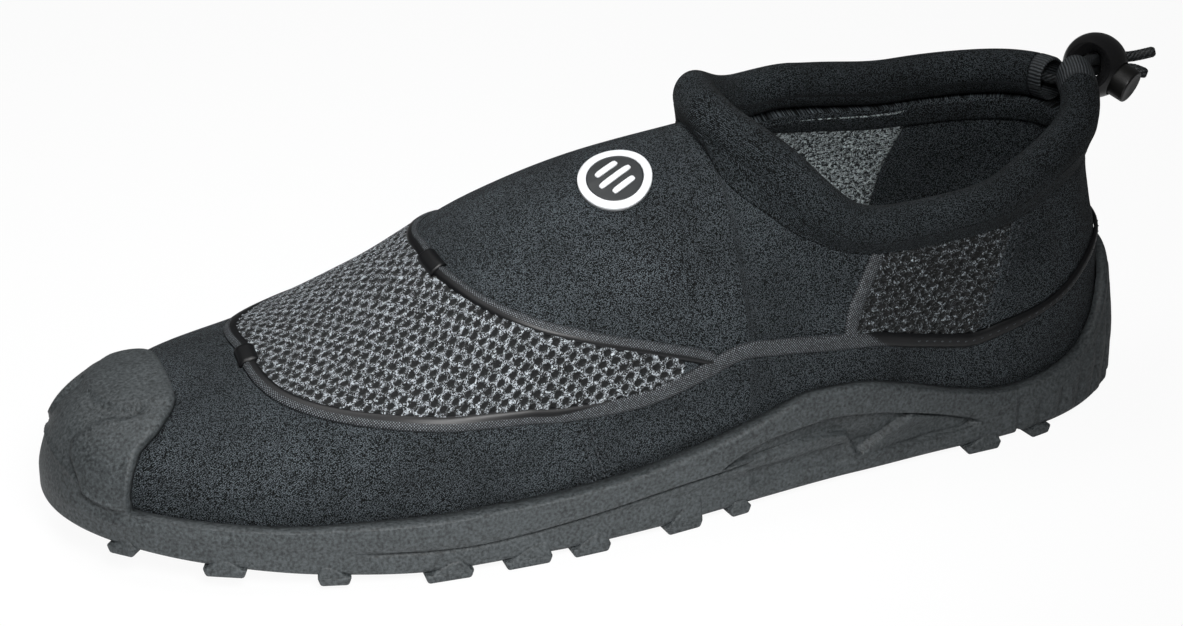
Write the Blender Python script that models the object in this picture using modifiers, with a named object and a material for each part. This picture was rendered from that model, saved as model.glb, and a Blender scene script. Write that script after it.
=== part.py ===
# Slip-on water shoe for the left foot, men's size 43: a moulded rubber sole with a toe cap,
# a stretch upper with a drawcord tunnel round its collar, and a ball lock behind the heel.
# Frame: the toe points to -X, the heel to +X, the outer (lateral) side to -Y, +Z is up.
# The shoe stands on its lugs at z = 0.
import math

import bmesh
import bpy
import numpy as np
from mathutils import Matrix, Vector

# Last: lengths in metres
LAST_LENGTH = 0.277
BALL_WIDTH = 0.090
TOE_HEIGHT = 0.0175
INSTEP_HEIGHT = 0.077
ANKLE_LATERAL = 0.0496
ANKLE_MEDIAL = 0.0602
HEEL_HEIGHT = 0.0635
BELLY_HEIGHT = 0.022
TOE_LEAN = 0.012
HEEL_BULGE = 0.0005
HEEL_LEAN = 0.007
COLLAR_LENGTH = 0.113
COLLAR_WIDTH = 0.056
# How far the last lies off the middle of the whole shoe, along X and Y
LAST_AHEAD = 0.0002
LAST_ASIDE = 0.0008

# Upper, seams and collar
WALL = 0.0028
GAP = 0.0003
SEAT = 0.0004
PIPING_WIDTH = 0.0042
PIPING_RISE = 0.0011
ROLL_THICK = 0.0102
ROLL_TALL = 0.0122
ROLL_LEAN = 0.18
# The roll is thinner along the outer side, and its end there passes the heel's centre and lifts
ROLL_DIP = 0.002
ROLL_DIP_AT = 0.075
ROLL_DIP_RUN = 0.055
ROLL_PAST = 0.022
ROLL_LIFT = 0.006
ROLL_LIFT_RUN = 0.022
MOUTH_LATERAL = 0.0066
MOUTH_MEDIAL = 0.0080
BINDING_WIDTH = 0.0052
BINDING_THICK = 0.0008
BADGE_WIDTH = 0.0185
BADGE_TALL = 0.0190
BADGE_THICK = 0.0016
INSOLE_THICK = 0.003

# Sole
LUG_HEIGHT = 0.0022
FORE_THICK = 0.0078
TOE_THICK = 0.0053
HEEL_THICK = 0.0093
TOE_SPRING = 0.0095
SOLE_EDGE = 0.0050
RIM_THICK = 0.0034
BOTTOM_ROUND = 0.0018
RIM_FORE = 0.008
ARCH_RISE = 0.0115
COUNTER_RISE = 0.024
CAP_THICK = 0.0038
CAP_SEAT = 0.0012
WALL_SEAT = 0.0005
RIM_BEVEL = 0.0009
INSOLE_INSET = 0.0005
PANEL_DEPTH = 0.0012
RIB_HEIGHT = 0.0008
LUG_WIDTH = 0.0085
LUG_DEPTH = 0.013
LUG_CLIMB = 0.0045
LUG_TIP = 0.003
LUG_DRAFT = 0.002
LUG_PROUD = 0.0004
BLOCK_LENGTH = 0.010
BLOCK_WIDTH = 0.012
BLOCK_SPACE = 0.003

# Ball lock and drawcord
BALL_ROUND = 0.0086
BALL_AT = (0.1438, 0.0116, 0.0813)
MOUTH_ROUND = 0.0060
CORD_BORE = 0.0041
PLUNGER_ROUND = 0.0046
PLUNGER_OUT = 0.0116
PLUNGER_IN = 0.0029
PLUNGER_TRAVEL = 0.0028
SLIDE_GAP = 0.00035
MOUTH_FLOOR = 0.0035
SLOT_ROOM = 0.0008
CORD_THICK = 0.003
CORD_SPREAD = 0.0034
PLUNGER_AXIS = Vector((0.536, -0.781, -0.313)).normalized()
MOUTH_AXIS = Vector((-0.650, -0.703, 0.279))

# Ends of the outline that are round, as shares of the last's length
TOE_ROUND = 0.30
HEEL_ROUND = 0.16
# Where the lower curve of a section ends and the upper one begins, as a share of its girth
BELLY_AT = 0.28
# How far back along the collar its edge still follows the closed instep
COLLAR_BLEND = 0.30


def table(columns, rows):
    return {name: np.array([row[i] for row in rows]) for i, name in enumerate(columns.split())}


# Sections of the last. share is along its length, the others are shares of the ball width,
# except rise (share of the climb from toe to instep) and the fullness of each side's curve.
LAST = table("share centre half belly ridge rise lateral medial", (
    (0.00, 0.060, 0.460, 0.020, 0.030, 0.000, 0.62, 0.60),
    (0.10, 0.050, 0.470, 0.022, 0.035, 0.140, 0.60, 0.56),
    (0.20, 0.030, 0.475, 0.026, 0.040, 0.285, 0.58, 0.48),
    (0.30, 0.010, 0.485, 0.030, 0.045, 0.505, 0.56, 0.44),
    (0.40, 0.000, 0.480, 0.034, 0.045, 0.775, 0.54, 0.42),
    (0.50, -0.020, 0.440, 0.040, 0.045, 0.930, 0.52, 0.42),
    (0.60, -0.035, 0.380, 0.045, 0.040, 1.000, 0.50, 0.45),
    (0.70, -0.030, 0.345, 0.040, 0.030, 1.050, 0.50, 0.48),
    (0.80, -0.010, 0.335, 0.030, 0.010, 1.050, 0.50, 0.50),
    (0.90, 0.000, 0.330, 0.025, 0.000, 1.050, 0.50, 0.50),
    (1.00, 0.000, 0.330, 0.020, 0.000, 1.050, 0.50, 0.50),
))
# Sole thickness: how much of the toe spring and of the heel's extra thickness is there
BED = table("share spring heel", (
    (0.00, 1.00, 0.00), (0.10, 0.55, 0.00), (0.20, 0.20, 0.00), (0.32, 0.00, 0.00),
    (0.50, 0.00, 0.25), (0.70, 0.00, 0.90), (0.85, 0.00, 1.00), (1.00, 0.00, 1.00),
))
# Collar edge from front to back: width, lean of the wall, fall to the ankle, rise to the heel
COLLAR = table("along open lean lateral medial back", (
    (0.00, 0.90, 0.45, 0.00, 0.00, 0.00), (0.08, 0.94, 0.52, 0.43, 0.14, 0.00),
    (0.15, 0.97, 0.60, 0.73, 0.34, 0.00), (0.25, 1.00, 0.70, 0.92, 0.58, 0.00),
    (0.35, 1.03, 0.80, 0.98, 0.75, 0.00), (0.60, 1.04, 0.95, 1.00, 1.00, 0.08),
    (0.80, 1.00, 1.02, 1.00, 1.00, 0.50), (1.00, 1.00, 1.05, 1.00, 1.00, 1.00),
))
# Plan of the opening: its roundness, and that of its squarer corner at the front on the outer side
OPENING_ROUND = 2.2
OPENING_CORNER = 2.9
# Height of the sole's side above its bed: rim of the forefoot, wave at the arch, heel counter
RIM = table("share fore arch counter", (
    (0.00, 0.35, 0.00, 0.00), (0.05, 0.42, 0.00, 0.00), (0.17, 0.65, 0.00, 0.00),
    (0.27, 0.95, 0.00, 0.00), (0.36, 1.00, 0.00, 0.00), (0.44, 1.00, 0.10, 0.00),
    (0.54, 1.00, 0.42, 0.00), (0.60, 1.00, 0.72, 0.00), (0.65, 0.95, 0.98, 0.00),
    (0.70, 0.85, 0.95, 0.00), (0.75, 0.75, 0.68, 0.00), (0.81, 0.60, 0.25, 0.00),
    (0.86, 0.50, 0.04, 0.00), (0.90, 0.50, 0.00, 0.03), (0.94, 0.50, 0.00, 0.14),
    (0.97, 0.50, 0.00, 0.42), (0.985, 0.50, 0.00, 0.75), (1.00, 0.50, 0.00, 1.00),
))
# Rear edge of the toe cap: girth from the rim to the ridge, reach as a share of its corner's
CAP_EDGE = table("girth reach", (
    (0.00, 1.00), (0.20, 0.98), (0.45, 1.02), (0.65, 1.22), (0.82, 1.36), (1.00, 1.34),
))
CAP_CORNER = 0.132
# Side lugs along the last, and the rows of blocks between them
LUG_SHARES = (0.042, 0.117, 0.204, 0.30, 0.372, 0.430, 0.520, 0.577, 0.835, 0.895)
BLOCK_SHARES = (0.10, 0.165, 0.23, 0.295, 0.36, 0.425, 0.49, 0.555, 0.76, 0.825, 0.89)


def smooth(xs, ys, at):
    """Curve through the rows of a table that never overshoots them."""
    at = np.asarray(at, float)
    slope = np.diff(ys) / np.diff(xs)
    bend = np.zeros(len(xs))
    same = slope[:-1] * slope[1:] > 0
    bend[1:-1][same] = 2 * slope[:-1][same] * slope[1:][same] / (slope[:-1][same] + slope[1:][same])
    bend[0] = slope[0]
    bend[-1] = slope[-1]
    i = np.clip(np.searchsorted(xs, at) - 1, 0, len(xs) - 2)
    step = xs[i + 1] - xs[i]
    t = np.clip((at - xs[i]) / step, 0, 1)
    rise = ys[i] * (1 + 2 * t) * (1 - t) ** 2 + ys[i + 1] * t * t * (3 - 2 * t)
    return rise + step * t * (1 - t) * (bend[i] * (1 - t) - bend[i + 1] * t)


def read(rows, column, at, key="share"):
    return smooth(rows[key], rows[column], at)


def ease(t):
    t = np.clip(t, 0, 1)
    return t * t * (3 - 2 * t)


def round_end(share, power):
    return (1 - (1 - np.clip(share, 0, 1)) ** power) ** (1 / power)


def share_of(loop):
    """Loop coordinate to share of length: 0 and 2 are the heel's centre, 1 is the toe's."""
    ends = TOE_ROUND + HEEL_ROUND
    quarter = math.pi / 2
    stretch = quarter / (1 - ends + quarter * ends)
    walk = np.abs(np.asarray(loop, float) - 1)
    toe = TOE_ROUND * (1 - np.cos(np.clip(walk / (TOE_ROUND * stretch), 0, 1) * quarter))
    heel = HEEL_ROUND * (1 - np.cos(np.clip((1 - walk) / (HEEL_ROUND * stretch), 0, 1) * quarter))
    straight = TOE_ROUND + (walk - TOE_ROUND * stretch) * quarter / stretch
    return np.where(walk < TOE_ROUND * stretch, toe,
                    np.where(walk > 1 - HEEL_ROUND * stretch, 1 - heel, straight))


def walk_of(share):
    """Share of length to distance from the toe's centre along the loop."""
    grid = np.linspace(0, 1, 801)
    return np.interp(share, share_of(1 + grid), grid)


def ground(share):
    return TOE_SPRING * read(BED, "spring", share)


def bottom(share):
    return ground(share) + LUG_HEIGHT


def bed(share):
    thick = FORE_THICK + (TOE_THICK - FORE_THICK) * read(BED, "spring", share)
    return bottom(share) + thick + (HEEL_THICK - FORE_THICK) * read(BED, "heel", share)


def collar_front():
    return 1 - COLLAR_LENGTH / LAST_LENGTH


def collar_edge(share, side):
    """Half width, height over the bed and lean of the collar's edge."""
    t = np.clip((share - collar_front()) / (1 - collar_front()), 0, 1)
    fall = np.where(side > 0, read(COLLAR, "medial", t, "along"), read(COLLAR, "lateral", t, "along"))
    ankle = np.where(side > 0, ANKLE_MEDIAL, ANKLE_LATERAL)
    low = INSTEP_HEIGHT + (ankle - INSTEP_HEIGHT) * fall
    power = np.where((side < 0) & (t < 0.5), OPENING_CORNER, OPENING_ROUND)
    round_off = (1 - np.abs(2 * t - 1) ** power) ** (1 / power)
    half = COLLAR_WIDTH / 2 * read(COLLAR, "open", t, "along") * round_off
    high = low + (HEEL_HEIGHT - low) * read(COLLAR, "back", t, "along")
    lean = read(COLLAR, "lean", t, "along") * np.where(t < 0.5, round_off, 1)
    return half, high, lean, ease(t / COLLAR_BLEND)


def bezier(a, b, c, d, t):
    t = t[..., None]
    return (1 - t) ** 3 * a + 3 * (1 - t) ** 2 * t * b + 3 * (1 - t) * t * t * c + t ** 3 * d


def arch(side_out, crest, full, lean, t):
    """Curve from the widest point of a section up to its crest, which leans by an angle."""
    reach = side_out[..., 0] - crest[..., 0]
    rise = crest[..., 1] - side_out[..., 1]
    hand = full * (reach * np.cos(lean) + 0.5 * rise * np.sin(lean))
    out_up = side_out + np.stack([0 * rise, full * rise], -1)
    crest_hand = crest + np.stack([hand * np.cos(lean), -hand * np.sin(lean)], -1)
    return bezier(side_out, out_up, crest_hand, crest, t)


def last_point(loop, girth):
    """Point of the upper's outer face. girth runs from 0 at the sole to 1 at ridge or collar."""
    loop, girth = np.broadcast_arrays(np.asarray(loop, float) % 2, np.asarray(girth, float))
    side = np.where(loop > 1, 1.0, -1.0)
    share = share_of(loop)
    toe = share / TOE_ROUND
    heel = (1 - share) / HEEL_ROUND
    ends = round_end(toe, 2.1) * round_end(heel, 2.0)
    middle = BALL_WIDTH * read(LAST, "centre", share)
    half = BALL_WIDTH * read(LAST, "half", share) * ends
    belly = half + BALL_WIDTH * read(LAST, "belly", share) * ends
    past = share > collar_front()
    ridge = side * BALL_WIDTH * read(LAST, "ridge", share) * (1 - ease((share - collar_front()) / 0.12))
    climb = np.minimum(1, read(LAST, "rise", share) / read(LAST, "rise", collar_front()))
    closed = TOE_HEIGHT + (INSTEP_HEIGHT - TOE_HEIGHT) * climb
    edge_half, edge_high, edge_lean, blend = collar_edge(share, side)
    full = np.where(side > 0, read(LAST, "medial", share), read(LAST, "lateral", share))
    low = np.minimum(0.36 * closed, BELLY_HEIGHT)
    foot = np.stack([half, 0 * half], -1)
    side_out = np.stack([belly, low], -1)
    foot_hand = foot + np.stack([(belly - half) * 0.9, low * 0.35], -1)
    out_down = side_out - np.stack([0 * low, low * 0.4], -1)
    lower = bezier(foot, foot_hand, out_down, side_out, np.clip(girth / BELLY_AT, 0, 1))
    rest = np.clip((girth - BELLY_AT) / (1 - BELLY_AT), 0, 1)
    crest = np.stack([ridge, closed], -1)
    steps = np.linspace(0, 1, 33)
    walls = np.stack([arch(side_out, crest, full, 0 * full, 0 * full + t)[..., 0] for t in steps])
    cut = np.where(past, edge_half + ridge, ridge)
    near = np.clip(np.sum(walls >= cut, axis=0) - 1, 0, 31)
    first = np.take_along_axis(walls, near[None], 0)[0]
    second = np.take_along_axis(walls, near[None] + 1, 0)[0]
    stop = np.where(past, (near + np.clip((first - cut) / (first - second + 1e-9), 0, 1)) / 32, 1)
    dome = arch(side_out, crest, full, 0 * full, rest * stop)
    edge = np.stack([edge_half + ridge, edge_high], -1)
    wall = arch(side_out, edge, full, edge_lean * math.pi / 2, rest)
    blend = np.where(past, blend, 0)[..., None]
    upper = dome * (1 - blend) + wall * blend
    section = np.where(girth[..., None] < BELLY_AT, lower, upper)
    up = section[..., 1]
    top = np.where(past, edge_high, closed)
    q = np.clip(up / top, 0, 1)
    x = LAST_LENGTH * (share - 0.5) - LAST_AHEAD
    x = x + TOE_LEAN * (1 - np.sqrt(1 - 0.96 * q * q)) * (1 - np.clip(toe, 0, 1)) ** 1.5
    x = x + (4.8 * HEEL_BULGE * q * (1 - q) - HEEL_LEAN * q * q) * (1 - np.clip(heel, 0, 1)) ** 1.5
    y = middle + side * section[..., 0] - LAST_ASIDE
    return np.stack([x, y, bed(share) + up], -1)


def unit(a):
    return a / np.linalg.norm(a, axis=-1, keepdims=True)


def last_normal(loop, girth):
    """Outward normal of the last's surface, from small steps along it."""
    loop, girth = np.broadcast_arrays(np.asarray(loop, float), np.asarray(girth, float))
    step = 0.002
    low = np.clip(girth - step, 0, 1)
    high = np.clip(girth + step, 0, 1)
    along = last_point(loop + step, girth) - last_point(loop - step, girth)
    return unit(np.cross(last_point(loop, high) - last_point(loop, low), along))


def wall_normal(loop, girth):
    """Normal that lies level low on the side and turns to the surface's own higher up."""
    n = last_normal(loop, girth)
    level = n.copy()
    level[..., 2] = 0
    return unit(unit(level) * (1 - ease(girth / 0.35))[..., None] + n * ease(girth / 0.35)[..., None])


def over_ridge(walk, turn):
    """Point and normal on the closed forefoot. turn is -1 at the outer sole, 0 at the ridge."""
    walk, turn = np.broadcast_arrays(np.asarray(walk, float), np.asarray(turn, float))
    loop = np.where(turn > 0, 1 + walk, 1 - walk)
    return last_point(loop, 1 - np.abs(turn)), last_normal(loop, 1 - np.abs(turn))


def new_collection(name):
    made = bpy.data.collections.new(name)
    bpy.context.scene.collection.children.link(made)
    return made


def material(name, colour, roughness, metallic=0.0):
    made = bpy.data.materials.new(name)
    made.use_nodes = True
    shader = made.node_tree.nodes["Principled BSDF"]
    shader.inputs["Base Color"].default_value = (*colour, 1)
    shader.inputs["Roughness"].default_value = roughness
    shader.inputs["Metallic"].default_value = metallic
    return made


def mesh_object(name, points, faces, paint, home):
    """Object from points and faces: doubles merged, faces turned outward, round parts smooth."""
    mesh = bpy.data.meshes.new(name)
    mesh.from_pydata([tuple(p) for p in points], [], faces)
    made = bmesh.new()
    made.from_mesh(mesh)
    bmesh.ops.remove_doubles(made, verts=made.verts, dist=0.00001)
    bmesh.ops.recalc_face_normals(made, faces=made.faces)
    made.to_mesh(mesh)
    made.free()
    mesh.shade_smooth()
    mesh.set_sharp_from_angle(angle=math.radians(35))
    mesh.materials.append(paint)
    placed = bpy.data.objects.new(name, mesh)
    home.objects.link(placed)
    return placed


def grid_faces(rows, columns, around):
    """Quads of a grid whose points run row by row; around closes each row into a ring."""
    last = columns if around else columns - 1
    return [(r * columns + c, r * columns + (c + 1) % columns,
             (r + 1) * columns + (c + 1) % columns, (r + 1) * columns + c)
            for r in range(rows - 1) for c in range(last)]


def ladder_faces(count, start):
    """Rungs across a ring that begins at the heel's centre and is even on both sides."""
    half = count // 2
    faces = []
    for j in range(half):
        rung = [start + j, start + j + 1, start + (count - j - 1) % count, start + (count - j) % count]
        faces.append(tuple(dict.fromkeys(rung)))
    return faces


def loop_columns(extra_heel):
    """Loop coordinates of the columns, heel to toe to heel, the same on both sides."""
    front = float(walk_of(collar_front()))
    toe = np.linspace(0, 0.36, 12)
    middle = np.linspace(0.36, front, 7)[1:]
    mouth = front + np.array([0.0027, 0.010, 0.0237, 0.0400, 0.055, 0.068, 0.081, 0.094])
    back = np.linspace(front + 0.109, 0.84, 4)
    heel = np.linspace(0.84, 1, 8 + extra_heel)[1:]
    walk = np.concatenate([toe, middle, mouth, back, heel])
    return np.concatenate([1 - walk[::-1], 1 + walk[1:-1]])


def solid_ring(name, rows, paint, home):
    """Closed solid from rings of points: the first and last ring are closed by rungs."""
    count = rows.shape[1]
    faces = grid_faces(len(rows), count, True)
    faces += ladder_faces(count, 0) + ladder_faces(count, (len(rows) - 1) * count)
    return mesh_object(name, rows.reshape(-1, 3), faces, paint, home)


def girth_at(loop, height):
    """Girth at which the last's side reaches a height, for each column."""
    grid = np.linspace(0, 0.8, 161)
    levels = last_point(loop[:, None], grid[None, :])[..., 2]
    return np.array([np.interp(h, row, grid) for h, row in zip(height, levels)])


def rim_height(share):
    """Height of the top of the sole's side over its bed."""
    return (RIM_FORE * read(RIM, "fore", share) + ARCH_RISE * read(RIM, "arch", share)
            + COUNTER_RISE * read(RIM, "counter", share))


def side_relief(share, high):
    """Steps and ribs of the sole's side; high runs from 0 at the bottom edge to 1 at the rim."""
    band = 0.0007 * ease((high - 0.70) / 0.05)
    panel = ease((share - 0.56) / 0.03) * ease((0.82 - share) / 0.02)
    panel = panel * ease((high - 0.20) / 0.05) * ease((0.68 - high) / 0.05)
    lean = (share - 0.72) / 0.09 - (high - 0.45) * 1.1
    wedge = ease((0.5 - np.abs(lean)) / 0.12) * ease((high - 0.26) / 0.05) * ease((0.60 - high) / 0.05)
    ribs = 0.5 + 0.5 * np.cos(walk_of(share) * 2 * math.pi / 0.024)
    ribs = ribs * ease((share - 0.885) / 0.01) * ease((high - 0.10) / 0.05) * ease((0.66 - high) / 0.08)
    return band - PANEL_DEPTH * panel * (1 - 0.85 * wedge) + RIB_HEIGHT * ribs


def cap_path(loop, share_up):
    """Where a column of the toe cap lies at a share of its climb: loop coordinate and girth."""
    walk = np.abs(loop - 1)
    side = np.sign(loop - 1)
    corner = float(girth_at(np.array([1 - CAP_CORNER]), corner_height())[0])
    near = 1 - np.clip(walk / CAP_CORNER, 0, 1)
    end_girth = corner + (1 - corner) * near
    end_walk = CAP_CORNER * read(CAP_EDGE, "reach", near, "girth")
    straight_walk = walk + (end_walk - walk) * share_up
    bent_walk = walk + (end_walk - walk) * np.clip((share_up - 0.55) / 0.45, 0, 1)
    bent_girth = np.clip(share_up / 0.55, 0, 1)
    mix = near ** 2
    new_walk = straight_walk * (1 - mix) + bent_walk * mix
    new_girth = end_girth * (share_up * (1 - mix) + bent_girth * mix)
    side = np.where(side == 0, 1, side)
    return 1 + side * new_walk, new_girth


def corner_height():
    share = share_of(np.array([1 - CAP_CORNER]))
    return bed(share) + rim_height(share)


def wall_place(loop, share_up):
    """Loop coordinate and girth of the sole's wall at a share of its climb above the bed."""
    share = share_of(loop)
    top = girth_at(loop, bed(share) + rim_height(share))
    cap_loop, cap_girth = cap_path(loop, share_up)
    in_cap = np.abs(loop - 1) < CAP_CORNER
    return np.where(in_cap, cap_loop, loop), np.where(in_cap, cap_girth, top * share_up)


def sole_rows(loop):
    """Rings of the sole: outer wall from the bottom edge up, over the rim, and down inside."""
    share = share_of(loop)
    foot = last_point(loop, 0)
    flat = wall_normal(loop, np.zeros_like(loop))
    rise = bed(share) - bottom(share)
    tall = rise + rim_height(share)
    cap = ease((CAP_CORNER - np.abs(loop - 1)) / 0.03)
    rows = []
    for level, inset in ((0.0, BOTTOM_ROUND), (0.10, BOTTOM_ROUND * 0.35), (0.30, 0), (0.55, 0), (0.80, 0)):
        z = bottom(share) + rise * level
        high = rise * level / tall
        out = SOLE_EDGE - inset + side_relief(share, high) * (1 - cap)
        ring = foot + flat * out[:, None]
        ring[:, 2] = z
        rows.append(ring)
    for climb in np.linspace(0, 1, 13):
        place, girth = wall_place(loop, climb)
        high = (rise + rim_height(share) * climb) / tall
        taper = SOLE_EDGE + (RIM_THICK - SOLE_EDGE) * ease(climb)
        cap_out = SOLE_EDGE + (CAP_THICK - SOLE_EDGE) * ease(climb * 3)
        out = (taper + side_relief(share, high)) * (1 - cap) + cap * cap_out
        out = out - RIM_BEVEL * (climb > 0.97)
        rows.append(last_point(place, girth) + wall_normal(place, girth) * out[:, None])
    seat = WALL_SEAT * (1 - cap) + CAP_SEAT * cap
    for climb in np.linspace(1, 0, 9):
        place, girth = wall_place(loop, climb)
        rows.append(last_point(place, girth) + wall_normal(place, girth) * seat[:, None])
    floor = rows[-1].copy()
    floor[:, 2] -= GAP
    rows.append(floor)
    return np.array(rows)


def prism(centre, along, across, low_z, high_z, bottom_size, top_size, slide):
    """Eight corners of a tapered block; slide moves the top along the across axis."""
    corners = []
    for z, (length, width), shift in ((low_z, bottom_size, 0), (high_z, top_size, slide)):
        for a, b in ((-1, -1), (1, -1), (1, 1), (-1, 1)):
            p = centre + along * a * length / 2 + across * (b * width / 2 + shift)
            corners.append((p[0], p[1], z))
    return corners


PRISM_FACES = [(0, 1, 2, 3), (4, 5, 6, 7), (0, 1, 5, 4), (1, 2, 6, 5), (2, 3, 7, 6), (3, 0, 4, 7)]


def lug_cutters(home):
    """All lugs and blocks as one guide mesh that the sole takes in by a union."""
    points = []
    faces = []

    def add(corners):
        start = len(points)
        points.extend(corners)
        faces.extend(tuple(start + i for i in face) for face in PRISM_FACES)

    for share in LUG_SHARES:
        for side in (-1, 1):
            loop = 1 + side * walk_of(share)
            foot = last_point(loop, 0)
            out = wall_normal(np.array([loop]), np.array([0.0]))[0]
            along = np.array([-out[1], out[0], 0.0])
            centre = foot + out * (SOLE_EDGE + LUG_PROUD - (LUG_DEPTH + LUG_DRAFT) / 2)
            low = float(ground(share))
            high = low + LUG_HEIGHT + LUG_CLIMB
            foot_size = (LUG_WIDTH, LUG_DEPTH - LUG_DRAFT)
            slide = (LUG_DEPTH + LUG_DRAFT - LUG_TIP) / 2 - LUG_PROUD
            add(prism(centre, along, out, low, high, foot_size, (LUG_WIDTH * 0.3, LUG_TIP), slide))
    for share in BLOCK_SHARES:
        inner = last_point(1 + walk_of(share), 0)
        outer = last_point(1 - walk_of(share), 0)
        middle = (inner + outer) / 2
        room = (inner[1] - outer[1]) / 2 + SOLE_EDGE - LUG_DEPTH - BLOCK_SPACE - BLOCK_WIDTH / 2
        for place in (-room, 0, room) if room > BLOCK_WIDTH + BLOCK_SPACE / 2 else (0,):
            centre = np.array([middle[0], middle[1] + place, 0])
            low = float(ground(share))
            add(prism(centre, np.array([1.0, 0, 0]), np.array([0, 1.0, 0]), low, low + LUG_HEIGHT + 0.002,
                      (BLOCK_LENGTH, BLOCK_WIDTH), (BLOCK_LENGTH + 0.001, BLOCK_WIDTH + 0.001), 0))
    made = mesh_object("lug_guides", points, faces, material("guide", (0.5, 0.5, 0.5), 0.5), home)
    made.hide_render = True
    made.display_type = "WIRE"
    return made


def union(target, other, operation="UNION"):
    cut = target.modifiers.new(operation.lower() + " " + other.name, "BOOLEAN")
    cut.operation = operation
    cut.solver = "EXACT"
    cut.object = other


def build_sole(home, guides):
    loop = loop_columns(6)
    sole = solid_ring("sole", sole_rows(loop), material("moulded rubber", (0.042, 0.045, 0.046), 0.62), home)
    union(sole, lug_cutters(guides))
    return sole


def build_upper(home):
    """One hollow shell, open at the collar and underneath; its toe half closes at the ridge."""
    loop = loop_columns(0)
    girths = (0, 0.08, 0.18, 0.28, 0.40, 0.54, 0.68, 0.82, 0.92, 1.0)
    points = np.array([last_point(loop, g) for g in girths])
    faces = grid_faces(len(girths), len(loop), True)
    fabric = material("stretch fabric", (0.012, 0.014, 0.016), 0.8)
    upper = mesh_object("upper", points.reshape(-1, 3), faces, fabric, home)
    shell = upper.modifiers.new("wall", "SOLIDIFY")
    shell.thickness = WALL
    shell.offset = -1
    return upper


def build_insole(home):
    """Foam sheet that lies on the sole's bed, inside the upper's wall."""
    loop = loop_columns(0)
    foot = last_point(loop, 0)
    flat = wall_normal(loop, np.zeros_like(loop))
    rows = []
    for level, inset in ((0.0, INSOLE_INSET), (1.0, INSOLE_INSET / 2)):
        ring = foot - flat * (WALL + GAP + inset)
        ring[:, 2] = bed(ring[:, 0] / LAST_LENGTH + 0.5) + GAP / 2 + INSOLE_THICK * level
        rows.append(ring)
    return solid_ring("insole", np.array(rows), material("insole foam", (0.02, 0.02, 0.022), 0.9), home)


def strip(name, points, normals, closed, paint, home):
    """Low domed tape along a path on the upper, a clearance above it."""
    ahead = np.roll(points, -1, 0) - np.roll(points, 1, 0)
    if not closed:
        ahead[0] = points[1] - points[0]
        ahead[-1] = points[-1] - points[-2]
    across = unit(np.cross(normals, ahead))
    section = ((-0.5, 0), (-0.42, 0.75), (0, 1), (0.42, 0.75), (0.5, 0))
    rings = [points + across * PIPING_WIDTH * a + normals * (SEAT + PIPING_RISE * b) for a, b in section]
    grid = np.stack(rings, 1)
    count = len(section)
    faces = grid_faces(len(grid), count, True)
    if closed:
        end = (len(grid) - 1) * count
        faces += [(end + c, end + (c + 1) % count, (c + 1) % count, c) for c in range(count)]
    else:
        faces += [tuple(range(count)), tuple(range((len(grid) - 1) * count, len(grid) * count))]
    return mesh_object(name, grid.reshape(-1, 3), faces, paint, home)


# Seams as walk (0 toe, 1 heel) and turn (0 ridge, 1 sole), the same on both sides
LOW_SEAM = table("walk turn", (
    (0.259, 0.00), (0.258, 0.072), (0.260, 0.135), (0.268, 0.215), (0.281, 0.283), (0.308, 0.375),
    (0.349, 0.475), (0.394, 0.562), (0.456, 0.640), (0.515, 0.655), (0.562, 0.633), (0.598, 0.606),
    (0.643, 0.578), (0.700, 0.600), (0.742, 0.672), (0.786, 0.728), (0.819, 0.705), (0.863, 0.664),
    (0.913, 0.588), (0.95, 0.555), (1.00, 0.545),
))
HIGH_SEAM = table("walk turn", (
    (0.403, 0.00), (0.403, 0.052), (0.405, 0.113), (0.410, 0.177), (0.418, 0.250), (0.434, 0.342),
    (0.454, 0.412), (0.477, 0.464), (0.501, 0.508), (0.526, 0.544), (0.556, 0.578),
))
QUARTER_SEAM = table("walk turn", ((0.686, 0.525), (0.690, 0.40), (0.700, 0.20), (0.707, 0.075)))


def seam_path(rows, count):
    """Even points of a seam on one side, from its first row to its last."""
    t = np.linspace(0, 1, len(rows["walk"]))
    fine = np.linspace(0, 1, 400)
    walk = smooth(t, rows["walk"], fine)
    turn = smooth(t, rows["turn"], fine)
    points, normals = over_ridge(walk, -turn)
    run = np.concatenate([[0], np.cumsum(np.linalg.norm(np.diff(points, axis=0), axis=1))])
    at = np.interp(np.linspace(0, run[-1], count), run, fine)
    return np.interp(at, fine, walk), np.interp(at, fine, turn)


def both_sides(rows, count):
    """Points and normals of a seam from the outer side over the ridge to the inner side."""
    walk, turn = seam_path(rows, count)
    outer, outer_normal = over_ridge(walk[::-1], -turn[::-1])
    inner, inner_normal = over_ridge(walk[1:], turn[1:])
    return np.concatenate([outer, inner]), np.concatenate([outer_normal, inner_normal])


def build_piping(home):
    tape = material("woven tape", (0.03, 0.032, 0.035), 0.7)
    points, normals = both_sides(LOW_SEAM, 36)
    strip("piping_low", points[:-1], normals[:-1], True, tape, home)
    points, normals = both_sides(HIGH_SEAM, 16)
    strip("piping_instep", points, normals, False, tape, home)
    for name, sign in (("piping_quarter_lateral", -1), ("piping_quarter_medial", 1)):
        walk, turn = seam_path(QUARTER_SEAM, 7)
        points, normals = over_ridge(walk, sign * turn)
        strip(name, points, normals, False, tape, home)


def roll_run():
    """Fine points round the collar's edge, lateral to medial, and the distance run at each."""
    front = float(walk_of(collar_front())) + 0.0005
    fine = np.concatenate([np.linspace(-ROLL_PAST, 1 - front, 400), np.linspace(1 + front, 2, 400)])
    edge = last_point(fine, 1)
    return edge, np.concatenate([[0], np.cumsum(np.linalg.norm(np.diff(edge, axis=0), axis=1))])


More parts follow.
